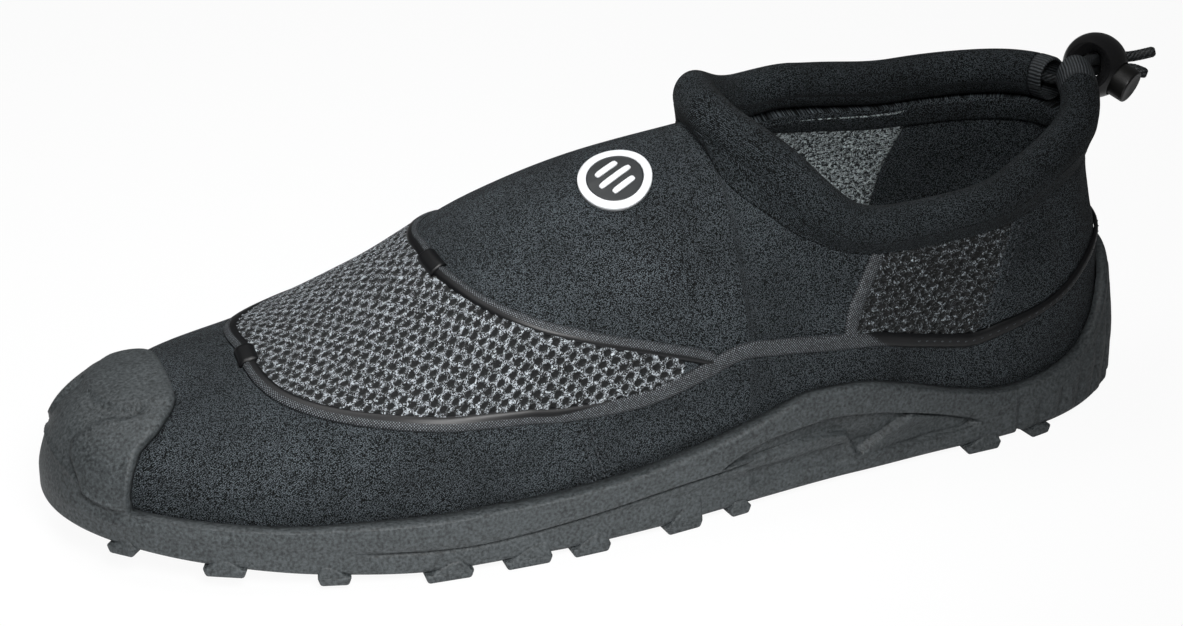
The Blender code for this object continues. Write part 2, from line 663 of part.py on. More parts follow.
def roll_stretch(start, end, count):
    """Centre, direction, up, side and height of the collar roll, between two distances."""
    edge, run = roll_run()
    at = np.linspace(start, run[-1] - end, count)
    walk = float(walk_of(collar_front() + (1 - collar_front()) / 2))
    middle = (last_point(1 + walk, 1) + last_point(1 - walk, 1)) / 2
    heading = unit(np.gradient(edge, axis=0))
    edge = np.stack([np.interp(at, run, edge[:, k]) for k in range(3)], -1)
    ahead = unit(np.stack([np.interp(at, run, heading[:, k]) for k in range(3)], -1))
    into = middle - edge
    into[:, 2] = 0
    up = unit(unit(into) * ROLL_LEAN + np.array([0, 0, 1.0]))
    side = unit(np.cross(ahead, up))
    up = unit(np.cross(side, ahead))
    tall = ROLL_TALL - ROLL_DIP * ease(1 - np.abs(at - ROLL_DIP_AT) / ROLL_DIP_RUN)
    raised = ROLL_LIFT * ease(1 - at / ROLL_LIFT_RUN)
    ahead = unit(ahead + np.array([0, 0, 1.0]) * np.gradient(raised, at)[:, None])
    centre = edge + up * (tall / 2 + 2 * GAP)[:, None] + np.array([0, 0, 1.0]) * raised[:, None]
    return centre, ahead, up, side, tall


def tube_ring(centre, up, side, tall, thick, count):
    turn = np.linspace(0, 2 * math.pi, count, endpoint=False)
    return (centre[:, None] + up[:, None] * (np.sin(turn)[None] * tall[:, None] / 2)[..., None]
            + side[:, None] * (np.cos(turn) * thick / 2)[None, :, None])


def build_roll(home):
    """Collar tunnel, and the ribbon that edges each of its two mouths."""
    seat = BINDING_WIDTH + GAP
    centre, _, up, side, tall = roll_stretch(MOUTH_LATERAL + seat, MOUTH_MEDIAL + seat, 48)
    rings = tube_ring(centre, up, side, tall, ROLL_THICK, 10)
    faces = grid_faces(len(rings), 10, True)
    faces += [tuple(range(10)), tuple(range((len(rings) - 1) * 10, len(rings) * 10))]
    jersey = material("jersey tunnel", (0.012, 0.014, 0.016), 0.8)
    mesh_object("collar_tunnel", rings.reshape(-1, 3), faces, jersey, home)
    grosgrain = material("ribbon", (0.02, 0.02, 0.022), 0.6)
    full = roll_run()[1][-1]
    for name, start, end in (("mouth_binding_lateral", MOUTH_LATERAL, full - MOUTH_LATERAL - BINDING_WIDTH),
                             ("mouth_binding_medial", full - MOUTH_MEDIAL - BINDING_WIDTH, MOUTH_MEDIAL)):
        centre, _, up, side, tall = roll_stretch(start, end, 3)
        outer = tube_ring(centre, up, side, tall, ROLL_THICK, 16)
        inner = tube_ring(centre, up, side, tall - 2 * BINDING_THICK, ROLL_THICK - 2 * BINDING_THICK, 16)
        rows = np.concatenate([outer, inner[::-1], outer[:1]])
        mesh_object(name, rows.reshape(-1, 3), grid_faces(len(rows), 16, True), grosgrain, home)


# Badge's centre, as walk and turn
BADGE_WALK = 0.534
BADGE_TURN = -0.125


def build_badge(home):
    """Oval plate that follows the instep beside the ridge."""
    centre, _ = over_ridge(BADGE_WALK, BADGE_TURN)
    step = 0.01
    ahead = float(np.linalg.norm(over_ridge(BADGE_WALK + step, BADGE_TURN)[0] - centre)) / step
    across = float(np.linalg.norm(over_ridge(BADGE_WALK, BADGE_TURN - step)[0] - centre)) / step
    turn = np.linspace(0, 2 * math.pi, 28, endpoint=False)
    rows = []
    for reach, out in ((0.5, 0), (1, 0), (1, 0.8), (0.93, 1), (0.5, 1)):
        a = BADGE_WALK + reach * BADGE_WIDTH / 2 / ahead * np.cos(turn)
        b = BADGE_TURN + reach * BADGE_TALL / 2 / across * np.sin(turn)
        p, n = over_ridge(a, b)
        rows.append(p + n * (SEAT + BADGE_THICK * out))
    rows = np.array(rows)
    middle, normal = over_ridge(np.array([BADGE_WALK]), np.array([BADGE_TURN]))
    poles = [middle + normal * SEAT, middle + normal * (SEAT + BADGE_THICK)]
    points = np.concatenate([rows.reshape(-1, 3)] + poles)
    faces = grid_faces(len(rows), 28, True)
    low = len(rows) * 28
    faces += [(low, c, (c + 1) % 28) for c in range(28)]
    faces += [(low + 1, 4 * 28 + c, 4 * 28 + (c + 1) % 28) for c in range(28)]
    return mesh_object("badge", points, faces, material("soft pvc badge", (0.75, 0.75, 0.75), 0.5), home)


def lock_frame():
    """Rotation whose z is the plunger's axis and whose x points out of the cord mouth."""
    z = PLUNGER_AXIS
    x = (MOUTH_AXIS - z * MOUTH_AXIS.dot(z)).normalized()
    y = z.cross(x)
    return Matrix((x, y, z)).transposed().to_4x4()


def cylinder(name, radius, depth, place, home, top_radius=None, segments=24):
    mesh = bpy.data.meshes.new(name)
    made = bmesh.new()
    bmesh.ops.create_cone(made, cap_ends=True, segments=segments, radius1=radius,
                          radius2=radius if top_radius is None else top_radius, depth=depth, matrix=place)
    made.to_mesh(mesh)
    made.free()
    placed = bpy.data.objects.new(name, mesh)
    home.objects.link(placed)
    return placed


def box(name, sizes, place, home):
    mesh = bpy.data.meshes.new(name)
    made = bmesh.new()
    bmesh.ops.create_cube(made, size=1, matrix=place @ Matrix.Diagonal((*sizes, 1)))
    made.to_mesh(mesh)
    made.free()
    placed = bpy.data.objects.new(name, mesh)
    home.objects.link(placed)
    return placed


def as_guide(made):
    made.hide_render = True
    made.display_type = "WIRE"
    return made


def build_lock(home, guides):
    """Hollow ball with a wide mouth for the cords and a spring plunger across them."""
    frame = Matrix.Translation(BALL_AT) @ lock_frame()
    turn_x = Matrix.Rotation(math.radians(90), 4, "Y")
    black = material("gloss plastic", (0.006, 0.006, 0.007), 0.18)
    mesh = bpy.data.meshes.new("lock_ball")
    made = bmesh.new()
    bmesh.ops.create_uvsphere(made, u_segments=20, v_segments=12, radius=BALL_ROUND)
    made.to_mesh(mesh)
    made.free()
    mesh.shade_smooth()
    mesh.materials.append(black)
    ball = bpy.data.objects.new("lock_ball", mesh)
    home.objects.link(ball)
    ball.matrix_world = frame
    mouth_depth = BALL_ROUND - MOUTH_FLOOR
    mouth_place = frame @ Matrix.Translation((MOUTH_FLOOR + mouth_depth / 2, 0, 0)) @ turn_x
    mouth = cylinder("mouth guide", CORD_BORE, mouth_depth, mouth_place, guides, MOUTH_ROUND)
    bore = cylinder("bore guide", CORD_BORE, 3 * BALL_ROUND, frame @ turn_x, guides)
    well_floor = -(PLUNGER_IN + PLUNGER_TRAVEL + GAP)
    well_top = 1.25 * BALL_ROUND
    well_place = frame @ Matrix.Translation((0, 0, (well_floor + well_top) / 2))
    well = cylinder("well guide", PLUNGER_ROUND + SLIDE_GAP, well_top - well_floor, well_place, guides)
    for guide in (mouth, bore, well):
        union(ball, as_guide(guide), "DIFFERENCE")
    carrier = bpy.data.objects.new("plunger axis", None)
    home.objects.link(carrier)
    carrier.matrix_world = frame
    middle = Matrix.Translation((0, 0, (PLUNGER_OUT - PLUNGER_IN) / 2))
    plunger = cylinder("lock_plunger", PLUNGER_ROUND, PLUNGER_OUT + PLUNGER_IN, middle, home)
    plunger.data.shade_smooth()
    plunger.data.set_sharp_from_angle(angle=math.radians(35))
    plunger.data.materials.append(material("matt plastic", (0.010, 0.010, 0.011), 0.4))
    plunger.parent = carrier
    slot_width = CORD_SPREAD + CORD_THICK + SLOT_ROOM
    slot_sizes = (3 * PLUNGER_ROUND, slot_width, CORD_THICK + PLUNGER_TRAVEL + SLOT_ROOM)
    slot = box("slot guide", slot_sizes, frame @ Matrix.Translation((0, 0, PLUNGER_TRAVEL / 2)), guides)
    union(plunger, as_guide(slot), "DIFFERENCE")
    return frame


# Drawcord ends in the lock's own frame, past the ball: out of the bore, then to their tips
CORD_TIPS = {
    "cord_end_lateral": ((-0.0133, -0.0019, 0.0005), (-0.0164, -0.0036, 0.0030), (-0.0188, -0.0076, 0.0073)),
    "cord_end_medial": ((-0.0125, 0.0016, 0.0012), (-0.0156, -0.0010, 0.0052), (-0.0168, -0.0016, 0.0090)),
}


def cord_route(name, frame, start, heading):
    """Points of one cord from its tunnel mouth through the ball to its tip."""
    sign = -1 if name == "cord_end_lateral" else 1
    aside = sign * CORD_SPREAD / 2
    inside = [frame @ Vector((BALL_ROUND * depth, aside, 0)) for depth in (0.87, 0.35, -0.35, -1.0)]
    tips = [frame @ Vector(p) for p in CORD_TIPS[name]]
    first = Vector(start)
    return [first, first + Vector(heading) * (BINDING_WIDTH + GAP)] + inside + tips


def through(points, count):
    """Even points of a smooth curve through a route."""
    p = np.array([tuple(q) for q in points])
    t = np.concatenate([[0], np.cumsum(np.linalg.norm(np.diff(p, axis=0), axis=1))])
    slope = np.gradient(p, t, axis=0)
    at = np.linspace(0, t[-1], count)
    i = np.clip(np.searchsorted(t, at, "right") - 1, 0, len(t) - 2)
    h = (t[i + 1] - t[i])[:, None]
    s = ((at - t[i]) / h[:, 0])[:, None]
    return (p[i] * (1 + 2 * s) * (1 - s) ** 2 + h * slope[i] * s * (1 - s) ** 2
            + p[i + 1] * s * s * (3 - 2 * s) + h * slope[i + 1] * s * s * (s - 1))


def build_cords(home, frame):
    """Both ends of the drawcord, from the tunnel's end faces through the ball to their tips."""
    seat = BINDING_WIDTH + GAP
    centre, ahead, _, _, _ = roll_stretch(MOUTH_LATERAL + seat, MOUTH_MEDIAL + seat, 48)
    starts = {"cord_end_medial": (centre[-1] + ahead[-1] * 2 * GAP, ahead[-1]),
              "cord_end_lateral": (centre[0] - ahead[0] * 2 * GAP, -ahead[0])}
    braid = material("elastic cord", (0.015, 0.015, 0.016), 0.7)
    for name, (start, heading) in starts.items():
        route = through(cord_route(name, frame, start, heading), 14)
        curve = bpy.data.curves.new(name, "CURVE")
        curve.dimensions = "3D"
        curve.bevel_depth = CORD_THICK / 2
        curve.bevel_resolution = 2
        curve.use_fill_caps = True
        line = curve.splines.new("POLY")
        line.points.add(len(route) - 1)
        for point, p in zip(line.points, route):
            point.co = (*p, 1)
        curve.materials.append(braid)
        home.objects.link(bpy.data.objects.new(name, curve))


def build():
    for old in list(bpy.data.objects):
        bpy.data.objects.remove(old, do_unlink=True)
    shoe = new_collection("water shoe")
    guides = new_collection("guides")
    build_sole(shoe, guides)
    build_upper(shoe)
    build_insole(shoe)
    build_roll(shoe)
    build_piping(shoe)
    build_badge(shoe)
    frame = build_lock(shoe, guides)
    build_cords(shoe, frame)


build()
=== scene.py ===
import math

import bmesh
import bpy
import numpy as np
from mathutils import Matrix, Vector


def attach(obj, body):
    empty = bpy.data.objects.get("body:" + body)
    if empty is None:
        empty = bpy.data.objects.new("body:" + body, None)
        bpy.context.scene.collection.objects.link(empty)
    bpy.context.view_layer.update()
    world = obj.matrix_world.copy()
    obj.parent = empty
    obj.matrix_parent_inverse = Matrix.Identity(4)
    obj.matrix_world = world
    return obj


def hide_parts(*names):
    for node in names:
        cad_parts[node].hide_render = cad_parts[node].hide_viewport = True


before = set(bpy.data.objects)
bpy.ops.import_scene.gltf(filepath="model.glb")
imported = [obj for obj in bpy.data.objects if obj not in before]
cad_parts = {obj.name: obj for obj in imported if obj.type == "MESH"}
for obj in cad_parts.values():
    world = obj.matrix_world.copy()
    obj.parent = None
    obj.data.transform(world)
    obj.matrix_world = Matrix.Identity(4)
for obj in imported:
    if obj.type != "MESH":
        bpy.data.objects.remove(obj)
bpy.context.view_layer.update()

# Slip-on water shoe, left foot, seen from its outer side. Toe to -X, heel to +X, outer side to -Y.
# Lengths are metres, except where a name or note says mm. Pattern maps (UV) are in millimetres.


print("stage: frame loaded")

# The last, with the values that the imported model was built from
last = {
    "length": 0.277, "ballWidth": 0.090, "toeHeight": 0.0175, "instepHeight": 0.077,
    "ankleLateral": 0.0496, "ankleMedial": 0.0602, "heelHeight": 0.0635, "bellyHeight": 0.022,
    "toeLean": 0.012, "heelBulge": 0.0005, "heelLean": 0.007,
    "collarLength": 0.113, "collarWidth": 0.056, "ahead": 0.0002, "aside": 0.0008,
    "toeRound": 0.30, "heelRound": 0.16, "bellyAt": 0.28, "collarBlend": 0.30,
    "openingRound": 2.2, "openingCorner": 2.9,
}
sole = {
    "lugHeight": 0.0022, "foreThick": 0.0078, "toeThick": 0.0053, "heelThick": 0.0093, "toeSpring": 0.0095,
    "edge": 0.0050, "rimThick": 0.0034, "bottomRound": 0.0018, "rimFore": 0.008, "archRise": 0.0115,
    "counterRise": 0.024, "capThick": 0.0038, "capSeat": 0.0012, "wallSeat": 0.0005, "capCorner": 0.132,
    "lugDepth": 0.013, "lugTip": 0.003, "lugStand": 0.0008, "lugDraft": 0.0016,
    "blockLength": 0.010, "blockWidth": 0.012, "blockSpace": 0.003,
    "blockShares": (0.10, 0.165, 0.23, 0.295, 0.36, 0.425, 0.49, 0.555, 0.76, 0.825, 0.89),
}


def table(columns, rows):
    return {name: np.array([row[i] for row in rows]) for i, name in enumerate(columns.split())}


lastTable = table("share centre half belly ridge rise lateral medial", (
    (0.00, 0.060, 0.460, 0.020, 0.030, 0.000, 0.62, 0.60),
    (0.10, 0.050, 0.470, 0.022, 0.035, 0.140, 0.60, 0.56),
    (0.20, 0.030, 0.475, 0.026, 0.040, 0.285, 0.58, 0.48),
    (0.30, 0.010, 0.485, 0.030, 0.045, 0.505, 0.56, 0.44),
    (0.40, 0.000, 0.480, 0.034, 0.045, 0.775, 0.54, 0.42),
    (0.50, -0.020, 0.440, 0.040, 0.045, 0.930, 0.52, 0.42),
    (0.60, -0.035, 0.380, 0.045, 0.040, 1.000, 0.50, 0.45),
    (0.70, -0.030, 0.345, 0.040, 0.030, 1.050, 0.50, 0.48),
    (0.80, -0.010, 0.335, 0.030, 0.010, 1.050, 0.50, 0.50),
    (0.90, 0.000, 0.330, 0.025, 0.000, 1.050, 0.50, 0.50),
    (1.00, 0.000, 0.330, 0.020, 0.000, 1.050, 0.50, 0.50),
))
bedTable = table("share spring heel", (
    (0.00, 1.00, 0.00), (0.10, 0.55, 0.00), (0.20, 0.20, 0.00), (0.32, 0.00, 0.00),
    (0.50, 0.00, 0.25), (0.70, 0.00, 0.90), (0.85, 0.00, 1.00), (1.00, 0.00, 1.00),
))
collarTable = table("along open lean lateral medial back", (
    (0.00, 0.90, 0.45, 0.00, 0.00, 0.00), (0.08, 0.94, 0.52, 0.43, 0.14, 0.00),
    (0.15, 0.97, 0.60, 0.73, 0.34, 0.00), (0.25, 1.00, 0.70, 0.92, 0.58, 0.00),
    (0.35, 1.03, 0.80, 0.98, 0.75, 0.00), (0.60, 1.04, 0.95, 1.00, 1.00, 0.08),
    (0.80, 1.00, 1.02, 1.00, 1.00, 0.50), (1.00, 1.00, 1.05, 1.00, 1.00, 1.00),
))
rimTable = table("share fore arch counter", (
    (0.00, 0.35, 0.00, 0.00), (0.05, 0.42, 0.00, 0.00), (0.17, 0.65, 0.00, 0.00),
    (0.27, 0.95, 0.00, 0.00), (0.36, 1.00, 0.00, 0.00), (0.44, 1.00, 0.10, 0.00),
    (0.54, 1.00, 0.42, 0.00), (0.60, 1.00, 0.72, 0.00), (0.65, 0.95, 0.98, 0.00),
    (0.70, 0.85, 0.95, 0.00), (0.75, 0.75, 0.68, 0.00), (0.81, 0.60, 0.25, 0.00),
    (0.86, 0.50, 0.04, 0.00), (0.90, 0.50, 0.00, 0.03), (0.94, 0.50, 0.00, 0.14),
    (0.97, 0.50, 0.00, 0.42), (0.985, 0.50, 0.00, 0.75), (1.00, 0.50, 0.00, 1.00),
))
capTable = table("girth reach", (
    (0.00, 1.00), (0.20, 0.98), (0.45, 1.02), (0.65, 1.22), (0.82, 1.36), (1.00, 1.34),
))
# Seams as walk (0 toe, 1 heel) and turn (0 ridge or collar, 1 sole), the same on both sides
lowSeam = table("walk turn", (
    (0.259, 0.00), (0.258, 0.072), (0.260, 0.135), (0.268, 0.215), (0.281, 0.283), (0.308, 0.375),
    (0.349, 0.475), (0.394, 0.562), (0.456, 0.640), (0.515, 0.655), (0.562, 0.633), (0.598, 0.606),
    (0.643, 0.578), (0.700, 0.600), (0.742, 0.672), (0.786, 0.728), (0.819, 0.705), (0.863, 0.664),
    (0.913, 0.588), (0.95, 0.555), (1.00, 0.545),
))
highSeam = table("walk turn", (
    (0.403, 0.00), (0.403, 0.052), (0.405, 0.113), (0.410, 0.177), (0.418, 0.250), (0.434, 0.342),
    (0.454, 0.412), (0.477, 0.464), (0.501, 0.508), (0.526, 0.544), (0.556, 0.583), (0.573, 0.607),
))
quarterSeam = table("walk turn", ((0.684, 0.560), (0.688, 0.44), (0.697, 0.290), (0.711, 0.05)))
rearSeam = table("walk turn", ((0.795, 0.700), (0.803, 0.58), (0.817, 0.30), (0.828, 0.06)))
crossSeam = table("walk turn", ((0.4745, 0.690), (0.481, 0.80), (0.4885, 0.925)))


def curveThrough(xs, ys, at):
    # Cubic pieces through the rows of a table, with slopes that never overshoot them.
    at = np.asarray(at, float)
    slope = np.diff(ys) / np.diff(xs)
    bend = np.zeros(len(xs))
    same = slope[:-1] * slope[1:] > 0
    bend[1:-1][same] = 2 * slope[:-1][same] * slope[1:][same] / (slope[:-1][same] + slope[1:][same])
    bend[0] = slope[0]
    bend[-1] = slope[-1]
    i = np.clip(np.searchsorted(xs, at) - 1, 0, len(xs) - 2)
    step = xs[i + 1] - xs[i]
    t = np.clip((at - xs[i]) / step, 0, 1)
    rise = ys[i] * (1 + 2 * t) * (1 - t) ** 2 + ys[i + 1] * t * t * (3 - 2 * t)
    return rise + step * t * (1 - t) * (bend[i] * (1 - t) - bend[i + 1] * t)


def readTable(rows, column, at, key="share"):
    return curveThrough(rows[key], rows[column], at)


def ease(t):
    t = np.clip(t, 0, 1)
    return t * t * (3 - 2 * t)


def hump(distance, width):
    # Bell curve that is 1 on a line and fades over the width.
    return np.exp(-(distance / width) ** 2)


def roundEnd(share, power):
    return (1 - (1 - np.clip(share, 0, 1)) ** power) ** (1 / power)


def runOf(points):
    # Distance along a path, 0 at its first point.
    return np.concatenate([[0], np.cumsum(np.linalg.norm(np.diff(points, axis=0), axis=1))])


def readRows(at, run, rows):
    # A path's rows read at distances along its run.
    return np.stack([np.interp(at, run, rows[:, k]) for k in range(3)], -1)


def circle(count):
    return np.linspace(0, 2 * math.pi, count, endpoint=False)


def mapped(along, across):
    # Pattern map from distances in mm along a piece and across it.
    return np.stack(np.broadcast_arrays(along, across), -1)


def shareOf(loop):
    # Loop coordinate (0 and 2 at the heel, 1 at the toe) to share of length, on round ends.
    ends = last["toeRound"] + last["heelRound"]
    quarter = math.pi / 2
    stretch = quarter / (1 - ends + quarter * ends)
    walk = np.abs(np.asarray(loop, float) - 1)
    toeWalk = last["toeRound"] * stretch
    heelWalk = last["heelRound"] * stretch
    toe = last["toeRound"] * (1 - np.cos(np.clip(walk / toeWalk, 0, 1) * quarter))
    heel = last["heelRound"] * (1 - np.cos(np.clip((1 - walk) / heelWalk, 0, 1) * quarter))
    straight = last["toeRound"] + (walk - toeWalk) * quarter / stretch
    return np.where(walk < toeWalk, toe, np.where(walk > 1 - heelWalk, 1 - heel, straight))


def walkOf(share):
    grid = np.linspace(0, 1, 801)
    return np.interp(share, shareOf(1 + grid), grid)


def groundAt(share):
    return sole["toeSpring"] * readTable(bedTable, "spring", share)


def bottomAt(share):
    return groundAt(share) + sole["lugHeight"]


def bedAt(share):
    spring = readTable(bedTable, "spring", share)
    thick = sole["foreThick"] + (sole["toeThick"] - sole["foreThick"]) * spring
    heel = (sole["heelThick"] - sole["foreThick"]) * readTable(bedTable, "heel", share)
    return bottomAt(share) + thick + heel


collarFront = 1 - last["collarLength"] / last["length"]


def collarEdge(share, side):
    # Half width, height over the bed, lean and blend of the collar's edge at a share of length.
    t = np.clip((share - collarFront) / (1 - collarFront), 0, 1)
    medial = readTable(collarTable, "medial", t, "along")
    lateral = readTable(collarTable, "lateral", t, "along")
    fall = np.where(side > 0, medial, lateral)
    ankle = np.where(side > 0, last["ankleMedial"], last["ankleLateral"])
    low = last["instepHeight"] + (ankle - last["instepHeight"]) * fall
    power = np.where((side < 0) & (t < 0.5), last["openingCorner"], last["openingRound"])
    roundOff = (1 - np.abs(2 * t - 1) ** power) ** (1 / power)
    half = last["collarWidth"] / 2 * readTable(collarTable, "open", t, "along") * roundOff
    high = low + (last["heelHeight"] - low) * readTable(collarTable, "back", t, "along")
    lean = readTable(collarTable, "lean", t, "along") * np.where(t < 0.5, roundOff, 1)
    return half, high, lean, ease(t / last["collarBlend"])


def bezier(a, b, c, d, t):
    t = t[..., None]
    return (1 - t) ** 3 * a + 3 * (1 - t) ** 2 * t * b + 3 * (1 - t) * t * t * c + t ** 3 * d


def archCurve(sideOut, crest, full, lean, t):
    # Bezier from the widest point of a section up to its crest, which leans by an angle.
    reach = sideOut[..., 0] - crest[..., 0]
    rise = crest[..., 1] - sideOut[..., 1]
    hand = full * (reach * np.cos(lean) + 0.5 * rise * np.sin(lean))
    outUp = sideOut + np.stack([0 * rise, full * rise], -1)
    crestHand = crest + np.stack([hand * np.cos(lean), -hand * np.sin(lean)], -1)
    return bezier(sideOut, outUp, crestHand, crest, t)


def lastPoint(loop, girth):
    # Outer face of the upper: a section at each share of length, made of a lower curve from the
    # sole to the widest point and an upper one to the ridge, cut open and leaned in at the collar.
    loop, girth = np.broadcast_arrays(np.asarray(loop, float) % 2, np.asarray(girth, float))
    side = np.where(loop > 1, 1.0, -1.0)
    share = shareOf(loop)
    toe = share / last["toeRound"]
    heel = (1 - share) / last["heelRound"]
    ends = roundEnd(toe, 2.1) * roundEnd(heel, 2.0)
    wide = last["ballWidth"]
    middle = wide * readTable(lastTable, "centre", share)
    half = wide * readTable(lastTable, "half", share) * ends
    belly = half + wide * readTable(lastTable, "belly", share) * ends
    past = share > collarFront
    ridge = side * wide * readTable(lastTable, "ridge", share) * (1 - ease((share - collarFront) / 0.12))
    climb = np.minimum(1, readTable(lastTable, "rise", share) / readTable(lastTable, "rise", collarFront))
    closed = last["toeHeight"] + (last["instepHeight"] - last["toeHeight"]) * climb
    edgeHalf, edgeHigh, edgeLean, blend = collarEdge(share, side)
    full = np.where(side > 0, readTable(lastTable, "medial", share), readTable(lastTable, "lateral", share))
    low = np.minimum(0.36 * closed, last["bellyHeight"])
    foot = np.stack([half, 0 * half], -1)
    sideOut = np.stack([belly, low], -1)
    footHand = foot + np.stack([(belly - half) * 0.9, low * 0.35], -1)
    outDown = sideOut - np.stack([0 * low, low * 0.4], -1)
    lower = bezier(foot, footHand, outDown, sideOut, np.clip(girth / last["bellyAt"], 0, 1))
    rest = np.clip((girth - last["bellyAt"]) / (1 - last["bellyAt"]), 0, 1)
    crest = np.stack([ridge, closed], -1)
    steps = np.linspace(0, 1, 33)
    walls = np.stack([archCurve(sideOut, crest, full, 0 * full, 0 * full + t)[..., 0] for t in steps])
    cut = np.where(past, edgeHalf + ridge, ridge)
    near = np.clip(np.sum(walls >= cut, axis=0) - 1, 0, 31)
    first = np.take_along_axis(walls, near[None], 0)[0]
    second = np.take_along_axis(walls, near[None] + 1, 0)[0]
    stop = np.where(past, (near + np.clip((first - cut) / (first - second + 1e-9), 0, 1)) / 32, 1)
    dome = archCurve(sideOut, crest, full, 0 * full, rest * stop)
    edge = np.stack([edgeHalf + ridge, edgeHigh], -1)
    wall = archCurve(sideOut, edge, full, edgeLean * math.pi / 2, rest)
    blend = np.where(past, blend, 0)[..., None]
    section = np.where(girth[..., None] < last["bellyAt"], lower, dome * (1 - blend) + wall * blend)
    up = section[..., 1]
    q = np.clip(up / np.where(past, edgeHigh, closed), 0, 1)
    x = last["length"] * (share - 0.5) - last["ahead"]
    x = x + last["toeLean"] * (1 - np.sqrt(1 - 0.96 * q * q)) * (1 - np.clip(toe, 0, 1)) ** 1.5
    sag = 4.8 * last["heelBulge"] * q * (1 - q) - last["heelLean"] * q * q
    x = x + sag * (1 - np.clip(heel, 0, 1)) ** 1.5
    y = middle + side * section[..., 0] - last["aside"]
    return np.stack([x, y, bedAt(share) + up], -1)


def unit(a):
    return a / np.linalg.norm(a, axis=-1, keepdims=True)


def lastNormal(loop, girth):
    # Cross product of two small steps along the surface, so it points out of the shoe.
    loop, girth = np.broadcast_arrays(np.asarray(loop, float), np.asarray(girth, float))
    step = 0.002
    up = lastPoint(loop, np.clip(girth + step, 0, 1)) - lastPoint(loop, np.clip(girth - step, 0, 1))
    return unit(np.cross(up, lastPoint(loop + step, girth) - lastPoint(loop - step, girth)))


def wallNormal(loop, girth):
    # Level low on the side, turning to the surface's own normal higher up.
    n = lastNormal(loop, girth)
    level = n.copy()
    level[..., 2] = 0
    turned = ease(girth / 0.35)[..., None]
    return unit(unit(level) * (1 - turned) + n * turned)


def overRidge(walk, turn):
    # Point and normal at a walk from the toe and a turn from the ridge, negative on the outer side.
    walk, turn = np.broadcast_arrays(np.asarray(walk, float), np.asarray(turn, float))
    loop = np.where(turn > 0, 1 + walk, 1 - walk)
    return lastPoint(loop, 1 - np.abs(turn)), lastNormal(loop, 1 - np.abs(turn))


def mapTables():
    # Distance in mm down each section, measured from the ridge line, and along the side.
    walk = np.linspace(0, 1, 301)
    turn = np.linspace(0, 1, 101)
    w, t = np.meshgrid(walk, np.maximum(turn, 1e-6), indexing="ij")
    frontWalk = float(walkOf(collarFront))
    down = {}
    for side in (-1, 1):
        p = overRidge(w, side * t)[0]
        run = np.cumsum(np.linalg.norm(np.diff(p, axis=1), axis=-1), 1)
        run = np.concatenate([np.zeros((len(walk), 1)), run], 1)
        total = run[:, -1]
        start = np.where(walk > frontWalk, np.interp(frontWalk, walk, total) - total, 0)
        down[side] = 1000 * (run + start[:, None])
    middle = overRidge(walk, -0.4 + 0 * walk)[0]
    return walk, turn, down, 1000 * runOf(middle)


mapWalk, mapTurn, mapDown, mapAlong = mapTables()


def clothMap(walk, turn, side):
    # Pattern map in mm: along the shoe, and down from the ridge line with the side's sign.
    walk, turn, side = np.broadcast_arrays(walk, turn, side)
    a = np.clip(walk, 0, 1) * (len(mapWalk) - 1)
    b = np.clip(turn, 0, 1) * (len(mapTurn) - 1)
    i = np.clip(a.astype(int), 0, len(mapWalk) - 2)
    j = np.clip(b.astype(int), 0, len(mapTurn) - 2)
    a = a - i
    b = b - j
    down = np.zeros(walk.shape)
    for sign in (-1, 1):
        g = mapDown[sign]
        mixed = (g[i, j] * (1 - a) * (1 - b) + g[i + 1, j] * a * (1 - b)
                 + g[i, j + 1] * (1 - a) * b + g[i + 1, j + 1] * a * b)
        down = np.where(side * sign > 0, mixed * sign, down)
    return np.stack([np.interp(walk, mapWalk, mapAlong), down], -1)


def lineDistance(map2, start, end):
    # Distance in mm from a straight line on the pattern map, and how far along it a point lies.
    start = np.asarray(start, float)
    way = np.asarray(end, float) - start
    t = np.clip(((map2 - start) @ way) / (way @ way), 0, 1)
    return np.linalg.norm(map2 - start - t[..., None] * way, axis=-1), t


print("stage: last ready")


def hexColour(code):
    # sRGB hex digits to linear red, green, blue and alpha.
    v = np.array([int(code[i:i + 2], 16) for i in (1, 3, 5)]) / 255
    v = np.where(v <= 0.04045, v / 12.92, ((v + 0.055) / 1.055) ** 2.4)
    return (*[float(c) for c in v], 1.0)


def addNode(tree, kind, inputs=None, **settings):
    node = tree.nodes.new("ShaderNode" + kind)
    for key, value in settings.items():
        setattr(node, key, value)
    for key, value in (inputs or {}).items():
        if isinstance(value, bpy.types.NodeSocket):
            tree.links.new(value, node.inputs[key])
        else:
            node.inputs[key].default_value = value
    return node


def worked(tree, operation, *values):
    return addNode(tree, "Math", dict(enumerate(values)), operation=operation).outputs[0]


def ranged(tree, value, ends, to=(0.0, 1.0), kind="LINEAR"):
    # Value mapped from one range to another.
    inputs = {0: value, 1: ends[0], 2: ends[1], 3: to[0], 4: to[1]}
    return addNode(tree, "MapRange", inputs, interpolation_type=kind).outputs[0]


def noiseOf(tree, where, scale, detail=2.0, **others):
    return addNode(tree, "TexNoise", {"Vector": where, "Scale": scale, "Detail": detail, **others})


def blended(tree, amount, first, second):
    # Mix of two colours, each a hex code or another node's socket.
    first, second = (hexColour(c) if isinstance(c, str) else c for c in (first, second))
    return addNode(tree, "Mix", {0: amount, 6: first, 7: second}, data_type="RGBA").outputs[2]


def cellsOf(tree, where, turn, scale, randomness):
    # Voronoi cells on the turned and scaled pattern map.
    moved = addNode(tree, "Mapping", {0: where, "Rotation": (0, 0, turn), "Scale": scale})
    return addNode(tree, "TexVoronoi", {"Vector": moved.outputs[0], "Scale": 1.0, "Randomness": randomness},
                   voronoi_dimensions="2D")


